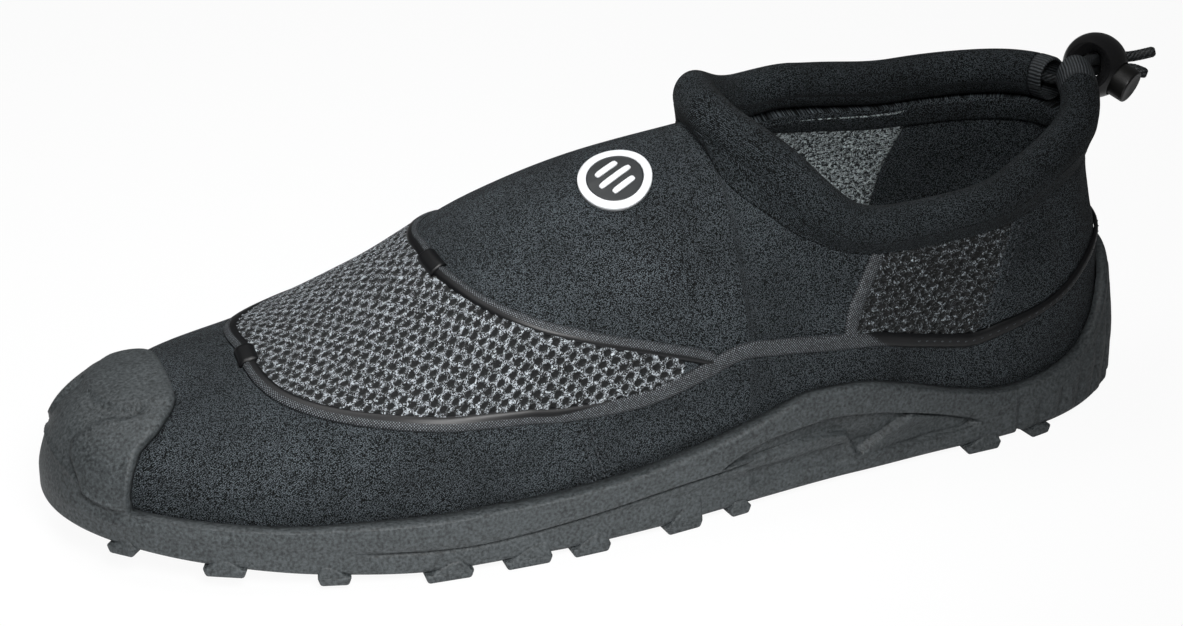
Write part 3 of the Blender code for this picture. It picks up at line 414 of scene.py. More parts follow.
def dress(tree, shader, colour, height, strength, depth):
    # Colour and bump go into the shader.
    tree.links.new(colour, shader.inputs["Base Color"])
    bump = addNode(tree, "Bump", {"Height": height, "Strength": strength, "Distance": depth})
    tree.links.new(bump.outputs[0], shader.inputs["Normal"])


def newPaint(name, values):
    paint = bpy.data.materials.new(name)
    paint.use_nodes = True
    shader = paint.node_tree.nodes["Principled BSDF"]
    for key, value in values.items():
        shader.inputs[key].default_value = value
    return paint, paint.node_tree, shader


# Knitted jersey glued on thin foam: matt and near black; single stitches glint as pale specks, which are
# painted highlights in the base colour, brightest on each stitch's crown.
# The real stitch is about 0.4 mm long; a cell here is 0.34 mm by 0.24 mm.
jersey = {"dark": "#020303", "light": "#808a91", "stitchMm": 0.34, "stretch": 0.72, "turn": 0.95,
          "random": 0.42, "glints": (0.0, 1.0), "crown": (0.05, 0.5), "cloud": 0.045, "depth": 0.00012,
          "rough": 0.75}


def jerseyPaint(name, cloth):
    paint, tree, shader = newPaint(name, {"Roughness": cloth["rough"], "Sheen Weight": 0.01,
                                          "Sheen Roughness": 0.45, "Specular IOR Level": 0.12})
    where = addNode(tree, "UVMap", uv_map="cloth").outputs[0]
    scale = (1 / cloth["stitchMm"], 1 / (cloth["stitchMm"] * cloth["stretch"]), 1)
    cells = cellsOf(tree, where, cloth["turn"], scale, cloth["random"])
    pick = addNode(tree, "SeparateColor", {0: cells.outputs["Color"]})
    glint = ranged(tree, pick.outputs[0], cloth["glints"], kind="SMOOTHSTEP")
    crown = ranged(tree, cells.outputs["Distance"], cloth["crown"], (1.0, 0.0))
    cloud = noiseOf(tree, where, cloth["cloud"])
    uneven = ranged(tree, cloud.outputs[0], (0.3, 0.7), (0.6, 1.0))
    # Painted highlight: the glint of each picked stitch, on its crown, mixed into the near-black base colour
    amount = worked(tree, "MULTIPLY", worked(tree, "MULTIPLY", glint, crown), uneven)
    dress(tree, shader, blended(tree, amount, cloth["dark"], cloth["light"]), crown, 0.7, cloth["depth"])
    return paint


# Spacer mesh knit: a heather of pale and black yarns with staggered rows of dark dimples for holes.
# Holes are real size; the yarns are 0.3 mm and drawn about 0.4 mm so that they show.
vampKnit = {"dark": "#030404", "light": "#b2b9bf", "pitchMm": 3.5, "rowMm": 2.35, "wideMm": 1.12,
            "tallMm": 0.86, "yarnMm": 0.38, "heather": (0.48, 0.62), "depth": 0.00055, "wander": 0.5}
quarterKnit = {"dark": "#040505", "light": "#a0a9b0", "pitchMm": 3.3, "rowMm": 2.2, "wideMm": 1.0,
               "tallMm": 0.55, "yarnMm": 0.42, "heather": (0.52, 0.72), "depth": 0.0006, "wander": 0.5}
liningKnit = {"dark": "#181c1f", "light": "#bcc7c9", "pitchMm": 2.6, "rowMm": 1.4, "wideMm": 0.5,
              "tallMm": 0.28, "yarnMm": 0.5, "heather": (0.42, 0.66), "depth": 0.0002, "wander": 0.4}
holeEdge = 1.3


def holeDistance(map2, knit):
    # Each row of cells is shifted by half a cell; distance from a cell's middle, 1 at the hole's edge.
    row = map2[..., 1] / knit["rowMm"]
    shift = (np.floor(row) % 2) * 0.5
    column = map2[..., 0] / knit["pitchMm"] + shift
    across = (column - np.floor(column) - 0.5) * knit["pitchMm"] / knit["wideMm"]
    upward = (row - np.floor(row) - 0.5) * knit["rowMm"] / knit["tallMm"]
    return np.hypot(across, upward)


def knitDepth(map2, knit):
    # Depth in metres of the dimple at each hole.
    return knit["depth"] * ease((holeEdge - holeDistance(map2, knit)) / 0.9)


def knitPaint(name, knit):
    # The same rows of cells in shader nodes, each point pushed about a little so that the holes vary.
    paint, tree, shader = newPaint(name, {"Roughness": 0.7, "Sheen Weight": 0.04, "Sheen Roughness": 0.4,
                                          "Specular IOR Level": 0.3})
    where = addNode(tree, "UVMap", uv_map="cloth").outputs[0]
    drift = noiseOf(tree, where, 0.35, 1.0)
    centred = addNode(tree, "VectorMath", {0: drift.outputs["Color"], 1: (0.5,) * 3}, operation="SUBTRACT")
    pushed = addNode(tree, "VectorMath", {0: centred.outputs[0], 3: knit["wander"]}, operation="SCALE")
    moved = addNode(tree, "VectorMath", {0: where, 1: pushed.outputs[0]}, operation="ADD")
    split = addNode(tree, "SeparateXYZ", {0: moved.outputs[0]})
    row = worked(tree, "DIVIDE", split.outputs[1], knit["rowMm"])
    odd = worked(tree, "FLOORED_MODULO", worked(tree, "FLOOR", row), 2.0)
    column = worked(tree, "MULTIPLY_ADD", odd, 0.5, worked(tree, "DIVIDE", split.outputs[0], knit["pitchMm"]))
    sides = []
    for value, size in ((column, knit["pitchMm"] / knit["wideMm"]), (row, knit["rowMm"] / knit["tallMm"])):
        part = worked(tree, "SUBTRACT", worked(tree, "FRACT", value), 0.5)
        sides.append(worked(tree, "MULTIPLY", part, size))
    cell = addNode(tree, "CombineXYZ", {0: sides[0], 1: sides[1]}).outputs[0]
    far = addNode(tree, "VectorMath", {0: cell}, operation="LENGTH").outputs["Value"]
    hole = ranged(tree, far, (0.75, holeEdge), (1.0, 0.0), "SMOOTHSTEP")
    yarns = noiseOf(tree, where, 0.55 / knit["yarnMm"], Roughness=0.75, Distortion=1.6)
    pale = ranged(tree, yarns.outputs[0], knit["heather"], kind="SMOOTHSTEP")
    mixed = blended(tree, pale, knit["dark"], knit["light"])
    high = worked(tree, "SUBTRACT", pale, hole)
    dress(tree, shader, blended(tree, hole, mixed, "#07090a"), high, 0.6, 0.0002)
    return paint


# Compression-moulded rubber: dark grey and satin, with a spark-eroded grain of 0.4 mm, drawn 0.8 mm.
rubber = {"dark": "#1d2021", "light": "#4b5052", "grainMm": 0.8, "rough": (0.52, 0.68)}


def rubberPaint():
    paint, tree, shader = newPaint("mouldedRubber", {"Specular IOR Level": 0.35})
    where = addNode(tree, "TexCoord").outputs["Object"]
    grain = noiseOf(tree, where, 1000 / rubber["grainMm"]).outputs[0]
    cloud = noiseOf(tree, where, 60.0, 3.0).outputs[0]
    tone = ranged(tree, worked(tree, "MULTIPLY_ADD", cloud, 0.25, grain), (0.36, 0.9))
    tree.links.new(ranged(tree, cloud, (0.3, 0.7), rubber["rough"]), shader.inputs["Roughness"])
    dress(tree, shader, blended(tree, tone, rubber["dark"], rubber["light"]), grain, 0.6, 0.0004)
    return paint


# Woven nylon tape: a fine plain weave whose crossings show as rows of grey specks, with one
# smooth black satin edge. Real thread spacing is 0.35 mm, drawn 0.5 mm.
tape = {"width": 0.0042, "rise": 0.0009, "seat": 0.0002, "threadMm": 0.5, "dark": "#060709",
        "light": "#8a9197", "satin": "#060709"}


def tapePaint():
    paint, tree, shader = newPaint("wovenTape", {"Specular IOR Level": 0.35})
    where = addNode(tree, "UVMap", uv_map="cloth").outputs[0]
    cells = cellsOf(tree, where, math.radians(45), (1 / tape["threadMm"],) * 3, 0.12)
    dot = ranged(tree, cells.outputs["Distance"], (0.06, 0.42), (1.0, 0.0))
    pick = addNode(tree, "SeparateColor", {0: cells.outputs["Color"]})
    amount = worked(tree, "MULTIPLY", dot, ranged(tree, pick.outputs[0], (0.0, 1.0), (0.35, 1.0)))
    satin = addNode(tree, "Attribute", attribute_name="satin").outputs["Fac"]
    woven = blended(tree, amount, tape["dark"], tape["light"])
    tree.links.new(ranged(tree, satin, (0.0, 1.0), (0.62, 0.45)), shader.inputs["Roughness"])
    high = worked(tree, "MULTIPLY", dot, worked(tree, "SUBTRACT", 1.0, satin))
    dress(tree, shader, blended(tree, satin, woven, tape["satin"]), high, 0.6, 0.00015)
    return paint


def ribbedPaint(name, dark, light, ribMm, slant, rough):
    # Grosgrain ribbon, braided cord and thread share one ribbed finish along their own map.
    paint, tree, shader = newPaint(name, {"Roughness": rough, "Specular IOR Level": 0.35})
    where = addNode(tree, "UVMap", uv_map="cloth").outputs[0]
    turned = addNode(tree, "Mapping", {0: where, "Rotation": (0, 0, slant), "Scale": (1 / ribMm,) * 3})
    wave = addNode(tree, "TexWave", {"Vector": turned.outputs[0], "Scale": 1 / 3.14, "Distortion": 1.2,
                                     "Detail": 1.0}).outputs["Fac"]
    amount = worked(tree, "MULTIPLY", wave, noiseOf(tree, where, 1.6).outputs[0])
    dress(tree, shader, blended(tree, amount, dark, light), wave, 0.6, 0.00025)
    return paint


def plasticPaint(name, colour, rough, grainMm, strength):
    # Polished acetal for the ball, lightly eroded for the button, soft PVC for the badge.
    paint, tree, shader = newPaint(name, {"IOR": 1.48})
    where = addNode(tree, "TexCoord").outputs["Object"]
    grain = noiseOf(tree, where, 1000 / grainMm).outputs[0]
    smear = noiseOf(tree, where, 350.0).outputs[0]
    full = hexColour(colour)
    tone = blended(tree, smear, tuple(c * 0.88 for c in full[:3]) + (1,), full)
    tree.links.new(ranged(tree, smear, (0.3, 0.7), (rough * 0.85, rough * 1.2)), shader.inputs["Roughness"])
    dress(tree, shader, tone, grain, strength, 0.0001)
    return paint


paints = {
    # Both jerseys carry painted stitch highlights; the collar's are a darker grey
    "jersey": jerseyPaint("polyesterJersey", jersey),
    "collar": jerseyPaint("collarJersey", dict(jersey, turn=0.3, light="#687177")),
    "vamp": knitPaint("spacerMeshVamp", vampKnit),
    "quarter": knitPaint("spacerMeshQuarter", quarterKnit),
    "lining": knitPaint("liningMesh", liningKnit),
    "rubber": rubberPaint(),
    "tape": tapePaint(),
    "ribbon": ribbedPaint("grosgrainRibbon", "#101214", "#565c60", 0.9, 0.0, 0.6),
    "cord": ribbedPaint("braidedElasticCord", "#0a0b0c", "#4c5154", 1.0, 0.85, 0.55),
    "thread": ribbedPaint("polyesterThread", "#14171a", "#6b7278", 0.5, 0.6, 0.5),
    "ball": plasticPaint("polishedAcetal", "#1a1a1b", 0.2, 0.8, 0.03),
    "button": plasticPaint("erodedAcetal", "#141413", 0.38, 0.35, 0.12),
    "badgeRim": plasticPaint("softPvcWhite", "#e6e8ea", 0.45, 0.5, 0.08),
    "badgeField": plasticPaint("softPvcBlack", "#1d2022", 0.5, 0.35, 0.15),
}
print("stage: materials ready")


def gridFaces(rows, columns, around=False):
    # Quads between neighbouring rows and columns of a grid whose points run row by row.
    r = np.arange(rows - 1)[:, None] * columns
    c = np.arange(columns if around else columns - 1)[None, :]
    n = (c + 1) % columns
    return np.stack([r + c, r + n, r + columns + n, r + columns + c], -1).reshape(-1, 4)


def ringFaces(rows, count):
    # Tube closed on itself: the last ring joins the first.
    c = np.arange(count)
    n = (c + 1) % count
    close = np.stack([(rows - 1) * count + c, (rows - 1) * count + n, n, c], -1)
    return np.concatenate([gridFaces(rows, count, True), close])


def lids(rows, count, start=0):
    # Flat faces on the first and the last ring of a tube.
    first = start + np.arange(count)
    return [first.tolist(), (first + (rows - 1) * count).tolist()]


def tubeFaces(rows, count):
    return gridFaces(rows, count, True).tolist() + lids(rows, count)


def ladderFaces(count, start):
    # Rungs across a ring that begins at the heel's centre and is even on both sides.
    j = np.arange(count // 2)
    rungs = np.stack([j, j + 1, (count - j - 1) % count, (count - j) % count], -1) + start
    return [tuple(dict.fromkeys(rung)) for rung in rungs.tolist()]


def meshFrom(name, points, faces, paint, cloth=None, marks=None, merge=False, sharp=None):
    # Mesh object from points and faces, with its pattern map in mm and its marks per point.
    mesh = bpy.data.meshes.new(name)
    faces = [tuple(f) for f in (faces.tolist() if hasattr(faces, "tolist") else faces)]
    mesh.from_pydata(np.asarray(points, float).reshape(-1, 3).tolist(), [], faces)
    corners = np.empty(len(mesh.loops), int)
    mesh.loops.foreach_get("vertex_index", corners)
    if cloth is not None:
        layer = mesh.uv_layers.new(name="cloth")
        layer.data.foreach_set("uv", np.asarray(cloth, float).reshape(-1, 2)[corners].ravel())
    for key, value in (marks or {}).items():
        mark = mesh.attributes.new(key, "FLOAT", "POINT")
        mark.data.foreach_set("value", np.asarray(value, float).ravel())
    if merge:
        made = bmesh.new()
        made.from_mesh(mesh)
        bmesh.ops.remove_doubles(made, verts=made.verts, dist=0.000005)
        bmesh.ops.recalc_face_normals(made, faces=made.faces)
        made.to_mesh(mesh)
        made.free()
    mesh.shade_smooth()
    if sharp:
        mesh.set_sharp_from_angle(angle=math.radians(sharp))
    mesh.materials.append(paint)
    placed = bpy.data.objects.new(name, mesh)
    bpy.context.scene.collection.objects.link(placed)
    return placed


def asSheet(piece, thickness, offset=-1):
    solid = piece.modifiers.new("sheet", "SOLIDIFY")
    solid.thickness = thickness
    solid.offset = offset


def settle(piece, stands=(), body="root"):
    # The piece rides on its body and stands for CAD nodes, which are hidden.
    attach(piece, body)
    if stands:
        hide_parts(*stands)
    return piece


def carve(target, cutter, operation="DIFFERENCE"):
    # Boolean worked out at once, so that the piece keeps no modifier.
    cut = target.modifiers.new("cut", "BOOLEAN")
    cut.object = cutter
    cut.operation = operation
    cut.solver = "EXACT"
    ready = target.evaluated_get(bpy.context.evaluated_depsgraph_get())
    mesh = bpy.data.meshes.new_from_object(ready)
    target.modifiers.clear()
    target.data = mesh
    bpy.data.objects.remove(cutter, do_unlink=True)


# Camera: the photograph's angle, a long lens from the outer side, above and a little to the front
camera = {"azimuth": -20.0, "elevation": 28.0, "distance": 0.9, "lens": 108.03,
          "target": (-0.0019, -0.0008, 0.04)}


def placeCamera():
    az, el = math.radians(camera["azimuth"]), math.radians(camera["elevation"])
    back = Vector((math.sin(az) * math.cos(el), -math.cos(az) * math.cos(el), math.sin(el)))
    right = Vector((math.cos(az), math.sin(az), 0))
    data = bpy.data.cameras.new("camera")
    data.lens = camera["lens"]
    data.sensor_width = 36
    data.clip_start = 0.02
    made = bpy.data.objects.new("camera", data)
    turn = Matrix((right, back.cross(right), back)).transposed().to_4x4()
    made.matrix_world = Matrix.Translation(Vector(camera["target"]) + back * camera["distance"]) @ turn
    bpy.context.scene.collection.objects.link(made)
    bpy.context.scene.camera = made


placeCamera()

# Collar roll: a padded tube on the collar's edge, with ribbon rings on its two mouths
roll = {"tall": 0.0122, "thick": 0.0102, "lean": 0.18, "gap": 0.0003, "mouthLateral": 0.0066,
        "mouthMedial": 0.0080, "binding": 0.0052, "rings": 560, "around": 44,
        "dip": 0.002, "dipAt": 0.075, "dipRun": 0.055, "past": 0.022, "lift": 0.006, "liftRun": 0.022}
rollSeat = roll["binding"] + roll["gap"]


def rollRun():
    front = float(walkOf(collarFront)) + 0.0005
    fine = np.concatenate([np.linspace(-roll["past"], 1 - front, 400), np.linspace(1 + front, 2, 400)])
    edge = lastPoint(fine, 1)
    return fine, edge, runOf(edge)


rollLoop, rollEdge, rollWay = rollRun()
# Where the roll's jersey starts and ends along its run
rollEnds = (roll["mouthLateral"] + rollSeat, rollWay[-1] - roll["mouthMedial"] - rollSeat)


def rollAt(at):
    # Centre, direction, up, inward side and height of the roll at distances along its run.
    walk = float(walkOf(collarFront + (1 - collarFront) / 2))
    middle = (lastPoint(1 + walk, 1) + lastPoint(1 - walk, 1)) / 2
    heading = unit(np.gradient(rollEdge, axis=0))
    edge = readRows(at, rollWay, rollEdge)
    ahead = unit(readRows(at, rollWay, heading))
    into = middle - edge
    into[:, 2] = 0
    up = unit(unit(into) * roll["lean"] + np.array([0, 0, 1.0]))
    side = unit(np.cross(ahead, up))
    up = unit(np.cross(side, ahead))
    tall = roll["tall"] - roll["dip"] * ease(1 - np.abs(at - roll["dipAt"]) / roll["dipRun"])
    step = 0.0005
    raised = [roll["lift"] * ease(1 - (at + d) / roll["liftRun"]) for d in (-step, 0, step)]
    vertical = np.array([0, 0, 1.0])
    ahead = unit(ahead + vertical * ((raised[2] - raised[0]) / (2 * step))[:, None])
    centre = edge + up * (tall / 2 + 2 * roll["gap"])[:, None] + vertical * raised[1][:, None]
    return centre, ahead, up, side, tall


def tubeRings(centre, up, side, tall, thick, count):
    # Ellipse round each centre, from the inward side up and over.
    turn = circle(count)
    tall, thick = np.broadcast_to(tall, len(centre)), np.broadcast_to(thick, len(centre))
    return (centre[:, None] + up[:, None] * (np.sin(turn)[None] * tall[:, None] / 2)[..., None]
            + side[:, None] * (np.cos(turn)[None] * thick[:, None] / 2)[..., None])


# Ball lock and the two free ends of the drawcord
lock = {"ball": 0.0086, "at": (0.1438, 0.0116, 0.0813), "mouth": 0.0060, "bore": 0.0041, "plunger": 0.0046,
        "out": 0.0116, "into": 0.0029, "travel": 0.0028, "slide": 0.00035, "floor": 0.0035, "room": 0.0008,
        "flat": 0.45, "around": 96, "wellAround": 64, "round": 0.0006}
cord = {"thick": 0.003, "spread": 0.0034, "rows": 220, "around": 28, "braid": 0.0034, "ripple": 0.0001,
        "tipRound": 0.0009, "tips": {
    "cord_end_lateral": ((-0.0133, -0.0019, 0.0005), (-0.0164, -0.0036, 0.0030), (-0.0188, -0.0076, 0.0073)),
    "cord_end_medial": ((-0.0125, 0.0016, 0.0012), (-0.0156, -0.0010, 0.0052), (-0.0168, -0.0016, 0.0090)),
}}


def lockFrame():
    z = Vector((0.536, -0.781, -0.313)).normalized()
    mouth = Vector((-0.650, -0.703, 0.279))
    x = (mouth - z * mouth.dot(z)).normalized()
    return Matrix.Translation(lock["at"]) @ Matrix((x, z.cross(x), z)).transposed().to_4x4()


lockPlace = lockFrame()


def throughPoints(points, count):
    # Hermite curve through a route's points, read at even distances.
    p = np.array([tuple(q) for q in points])
    t = runOf(p)
    slope = np.gradient(p, t, axis=0)
    at = np.linspace(0, t[-1], count)
    i = np.clip(np.searchsorted(t, at, "right") - 1, 0, len(t) - 2)
    h = (t[i + 1] - t[i])[:, None]
    s = ((at - t[i]) / h[:, 0])[:, None]
    return (p[i] * (1 + 2 * s) * (1 - s) ** 2 + h * slope[i] * s * (1 - s) ** 2
            + p[i + 1] * s * s * (3 - 2 * s) + h * slope[i + 1] * s * s * (s - 1))


def buildCord(name, start, heading):
    # Round tube along the route, its radius rippled by two crossing spirals of the braid.
    aside = (-1 if name == "cord_end_lateral" else 1) * cord["spread"] / 2
    inside = [lockPlace @ Vector((lock["ball"] * depth, aside, 0)) for depth in (0.87, 0.35, -0.35, -1.0)]
    tips = [lockPlace @ Vector(p) for p in cord["tips"][name]]
    first = Vector(start)
    path = throughPoints([first, first + Vector(heading) * rollSeat] + inside + tips, cord["rows"])
    way = runOf(path)
    ahead = unit(np.gradient(path, axis=0))
    side = unit(np.cross(ahead, (0.0, 0.0, 1.0)))
    up = np.cross(side, ahead)
    turn = circle(cord["around"])
    twist = way[:, None] / cord["braid"] * 2 * math.pi
    ripple = cord["ripple"] * (np.abs(np.sin(2 * turn + twist)) + np.abs(np.sin(2 * turn - twist)) - 1)
    end = np.clip((way[-1] - way) / cord["tipRound"], 0, 1)
    radius = (cord["thick"] / 2 - 0.0001 + ripple) * (0.55 + 0.45 * np.sqrt(end))[:, None]
    points = (path[:, None] + side[:, None] * (np.cos(turn) * radius)[..., None]
              + up[:, None] * (np.sin(turn) * radius)[..., None])
    cloth = mapped(way[:, None] * 1000, turn[None] * cord["thick"] * 500)
    piece = meshFrom(name.replace("cord_end", "drawcord"), points, tubeFaces(cord["rows"], cord["around"]),
                     paints["cord"], cloth, merge=True)
    settle(piece, (name,))


def buildCords():
    centre, ahead = rollAt(np.array(rollEnds))[:2]
    buildCord("cord_end_lateral", centre[0] - ahead[0] * 2 * roll["gap"], -ahead[0])
    buildCord("cord_end_medial", centre[1] + ahead[1] * 2 * roll["gap"], ahead[1])


buildCords()
print("stage: camera and cords")

# Sole: grid round the shoe, up the outside over the rim or cap and down inside
soleGrid = {"columns": 820, "wallRows": 22, "climbRows": 82, "insideRows": 6}
# Side lugs: share of length, length, climb up the wall and lead of the tip in mm
lugTable = (
    (0.042, 8.0, 1.8, 1.6), (0.117, 11.0, 2.6, -0.6), (0.204, 8.5, 3.2, -2.2), (0.30, 12.5, 3.0, 2.0),
    (0.372, 12.5, 4.2, 3.6), (0.430, 10.5, 3.8, 2.6), (0.520, 10.5, 7.2, 3.4), (0.577, 6.5, 2.2, 0.0),
    (0.835, 10.5, 3.0, 2.6), (0.895, 7.0, 0.8, 0.0))
# Lines on the sole's side as walk and height in mm
grooveLine = table("walk high", (
    (0.30, 9.9), (0.34, 9.4), (0.393, 8.4), (0.427, 9.0), (0.464, 10.6), (0.505, 12.4), (0.549, 14.2),
    (0.593, 15.2), (0.615, 16.4), (0.655, 16.8), (0.70, 15.2), (0.74, 12.0)))
hollowTop = table("walk high", (
    (0.57, 15.6), (0.591, 19.5), (0.620, 22.3), (0.661, 22.5), (0.698, 20.8), (0.733, 17.4), (0.781, 11.5),
    (0.80, 8.5)))
hollowLow = table("walk high", (
    (0.57, 15.4), (0.60, 15.9), (0.655, 16.9), (0.678, 15.6), (0.694, 7.4), (0.776, 6.8), (0.80, 8.4)))
partingLine = table("walk high", ((0.0, 25.6), (0.05, 24.2), (0.094, 21.2), (0.144, 19.5), (0.16, 19.3)))
petalEdge = table("turn walk", (
    (0.15, 0.160), (0.27, 0.124), (0.285, 0.098), (0.323, 0.074), (0.398, 0.057), (0.492, 0.045),
    (0.573, 0.048), (0.667, 0.063), (0.750, 0.075), (0.828, 0.082), (0.90, 0.09)))
relief = {"band": 0.0010, "groove": 0.0007, "hollow": 0.0024, "wedge": 0.0025, "slit": 0.0022, "ribs": 0.0016,
          "petal": 0.0012, "parting": 0.0005, "panel": 0.0010, "capThin": 0.0010}
# Raised wedge in the hollow: walks of its front, crest and back, and heights in mm
wedge = {"walks": (0.688, 0.733, 0.790), "low": 6.8, "rise": 9.6, "high": 16.6, "fall": 7.6, "floor": 7.4}
# Ribs round the heel: walk of the first, their spacing and the lean, then the slit before them
heelRibs = {"first": 0.846, "space": 0.0205, "lean": 0.0006, "slit": 0.828}
# Walks where the band, the hollow and the panel in it begin and end, and the panel's heights in mm
sideRuns = {"band": (0.29, 0.66), "hollow": (0.572, 0.798), "panel": (0.595, 0.682),
            "panelMm": (6.4, 13.2)}
# Toe cap petals: the round one's middle and radii in mm, and how soft the edges are, in walk and mm
petals = {"disc": (112.6, 8.6, 17.4, 17.6), "flankSoft": 0.0060, "discSoft": 1.9}


def girthAt(loop, height):
    # Girth at which each column reaches a height.
    grid = np.linspace(0, 0.8, 161)
    levels = lastPoint(loop[:, None], grid[None, :])[..., 2]
    return np.array([np.interp(h, row, grid) for h, row in zip(height, levels)])


def rimHeight(share):
    return (sole["rimFore"] * readTable(rimTable, "fore", share)
            + sole["archRise"] * readTable(rimTable, "arch", share)
            + sole["counterRise"] * readTable(rimTable, "counter", share))


def sideRelief(walk, share, z):
    # Steps, hollow, wedge, slit and ribs of the sole's side, from distances to the listed lines.
    mm = z * 1000
    topMm = (bedAt(share) + rimHeight(share)) * 1000
    groove = mm - readTable(grooveLine, "high", walk, "walk")
    start, end = sideRuns["band"]
    onBand = ease((walk - start) / 0.05) * ease((end - walk) / 0.05)
    out = relief["band"] * ease(groove / 1.2) * onBand - relief["groove"] * hump(groove, 0.55) * onBand
    inHollow = ease((readTable(hollowTop, "high", walk, "walk") - mm) / 1.1)
    inHollow = inHollow * ease((mm - readTable(hollowLow, "high", walk, "walk")) / 0.9)
    start, end = sideRuns["hollow"]
    inHollow = inHollow * ease((walk - start) / 0.01) * ease((end - walk) / 0.01)
    out = out - relief["hollow"] * inHollow
    front, crest, back = wedge["walks"]
    slope = wedge["low"] + (walk - front) / (crest - front) * wedge["rise"]
    fall = wedge["high"] - (walk - crest) / (back - crest) * wedge["fall"]
    inWedge = ease((slope - mm) / 0.5 + 0.5) * ease((fall - mm) / 0.8 + 0.5)
    inWedge = inWedge * ease((mm - wedge["floor"]) / 0.7) * (walk > front - 0.003)
    inWedge = inWedge * ease((back - 0.004 - walk) / 0.006)
    edgeward = np.clip(1 - (slope - mm) / 16, 0.25, 1)
    out = out + relief["wedge"] * inWedge * edgeward
    start, end = sideRuns["panel"]
    low, high = sideRuns["panelMm"]
    inPanel = ease((walk - start - (12.5 - mm) * 0.001) / 0.008) * ease((end - walk) / 0.006)
    out = out - relief["panel"] * inPanel * ease((high - mm) / 0.8) * ease((mm - low) / 0.8)
    out = out - relief["slit"] * hump((walk - heelRibs["slit"]) * 330, 0.6) * ease((13.8 - mm) / 1.5)
    step = (walk - heelRibs["first"] - (mm - 8) * heelRibs["lean"]) / heelRibs["space"]
    rib = np.sqrt(np.clip(1 - (2 * (step - np.floor(step)) - 1) ** 2, 0, 1)) - 0.7
    inRibs = ease((walk - 0.838) / 0.008) * ease((mm - 3.2) / 1.2) * ease((topMm - 3.2 - mm) / 2.5)
    return out + relief["ribs"] * rib * inRibs


def capRelief(walk, turn, point):
    # Raised petals of the toe cap: a round one on top and one on each flank, and the mould's line.
    mm = point * 1000
    x, y, long, wide = petals["disc"]
    disc = long * (1 - np.hypot((mm[..., 0] + x) / long, (mm[..., 1] - y) / wide))
    onTop = ease(disc / petals["discSoft"])
    flank = walk - readTable(petalEdge, "walk", np.clip(turn, 0.15, 0.9), "turn")
    flank = flank / petals["flankSoft"]
    onFlank = ease(flank) * (1 - onTop)
    dent = hump(disc + 0.7, 1.0) + hump(flank + 0.3, 0.7) * (1 - onTop)
    over = mm[..., 2] - readTable(partingLine, "high", np.clip(walk, 0, 0.16), "walk")
    seam = hump(over, 0.4) * ease((0.155 - walk) / 0.01)
    below = ease(-over)
    raised = onTop + 0.85 * onFlank * (1 - below) - 0.15 * dent * (1 - below)
    return relief["petal"] * raised + relief["parting"] * seam


def capPath(loop, climb, corner):
    # Where a column of the toe cap lies at a share of its climb: loop coordinate and girth.
    walk = np.abs(loop - 1)
    side = np.where(loop < 1, -1.0, 1.0)
    near = 1 - np.clip(walk / sole["capCorner"], 0, 1)
    endGirth = corner + (1 - corner) * near
    endWalk = sole["capCorner"] * readTable(capTable, "reach", near, "girth")
    straight = walk + (endWalk - walk) * climb
    bent = walk + (endWalk - walk) * np.clip((climb - 0.55) / 0.45, 0, 1)
    mix = near ** 2
    newWalk = straight * (1 - mix) + bent * mix
    newGirth = endGirth * (climb * (1 - mix) + np.clip(climb / 0.55, 0, 1) * mix)
    return 1 + side * newWalk, newGirth


def soleRows(loop):
    share = shareOf(loop)
    walk = np.abs(loop - 1)
    foot = lastPoint(loop, 0)
    flat = wallNormal(loop, np.zeros_like(loop))
    rise = bedAt(share) - bottomAt(share)
    top = girthAt(loop, bedAt(share) + rimHeight(share))
    cornerShare = shareOf(np.array([1 - sole["capCorner"]]))
    corner = girthAt(np.array([1 - sole["capCorner"]]), bedAt(cornerShare) + rimHeight(cornerShare))[0]
    cap = ease((sole["capCorner"] - walk) / 0.03)

    def wallPlace(climb):
        capLoop, capGirth = capPath(loop, climb, corner)
        inCap = walk < sole["capCorner"]
        return np.where(inCap, capLoop, loop), np.where(inCap, capGirth, top * climb)

    rows = []
    for level in np.linspace(0, 1, soleGrid["wallRows"], endpoint=False):
        z = bottomAt(share) + rise * level
        inset = sole["bottomRound"] * (1 - np.sqrt(np.clip(1 - (1 - min(level / 0.3, 1)) ** 2, 0, 1)))
        parting = relief["parting"] * hump(z * 1000 - readTable(partingLine, "high", walk, "walk"), 0.4) * cap
        out = sole["edge"] - inset + sideRelief(walk, share, z) * (1 - cap) + parting
        ring = foot + flat * out[:, None]
        ring[:, 2] = z
        rows.append(ring)
    climbs = 1 - (1 - np.linspace(0, 1, soleGrid["climbRows"])) ** 1.25
    for climb in climbs:
        place, girth = wallPlace(climb)
        base = lastPoint(place, girth)
        n = wallNormal(place, girth)
        taper = sole["edge"] + (sole["rimThick"] - sole["edge"]) * ease(climb)
        capOut = sole["edge"] + (sole["capThick"] - sole["edge"]) * ease(climb * 3)
        capOut = capOut - relief["capThin"] * ease((climb - 0.3) / 0.5)
        capOut = capOut + capRelief(np.abs(place - 1), 1 - girth, base)
        lip = 0.0016 * (1 - math.sqrt(1 - max(0, (climb - 0.90) / 0.10) ** 2 * 0.98))
        side = taper + sideRelief(walk, share, base[:, 2])
        rows.append(base + n * (side * (1 - cap) + cap * capOut - lip)[:, None])
    for climb in np.linspace(1, 0, soleGrid["insideRows"]):
        place, girth = wallPlace(climb)
        seat = sole["wallSeat"] * (1 - cap) + sole["capSeat"] * cap
        rows.append(lastPoint(place, girth) + wallNormal(place, girth) * seat[:, None])
    floor = rows[-1].copy()
    floor[:, 2] -= roll["gap"]
    rows.append(floor)
    return np.array(rows)


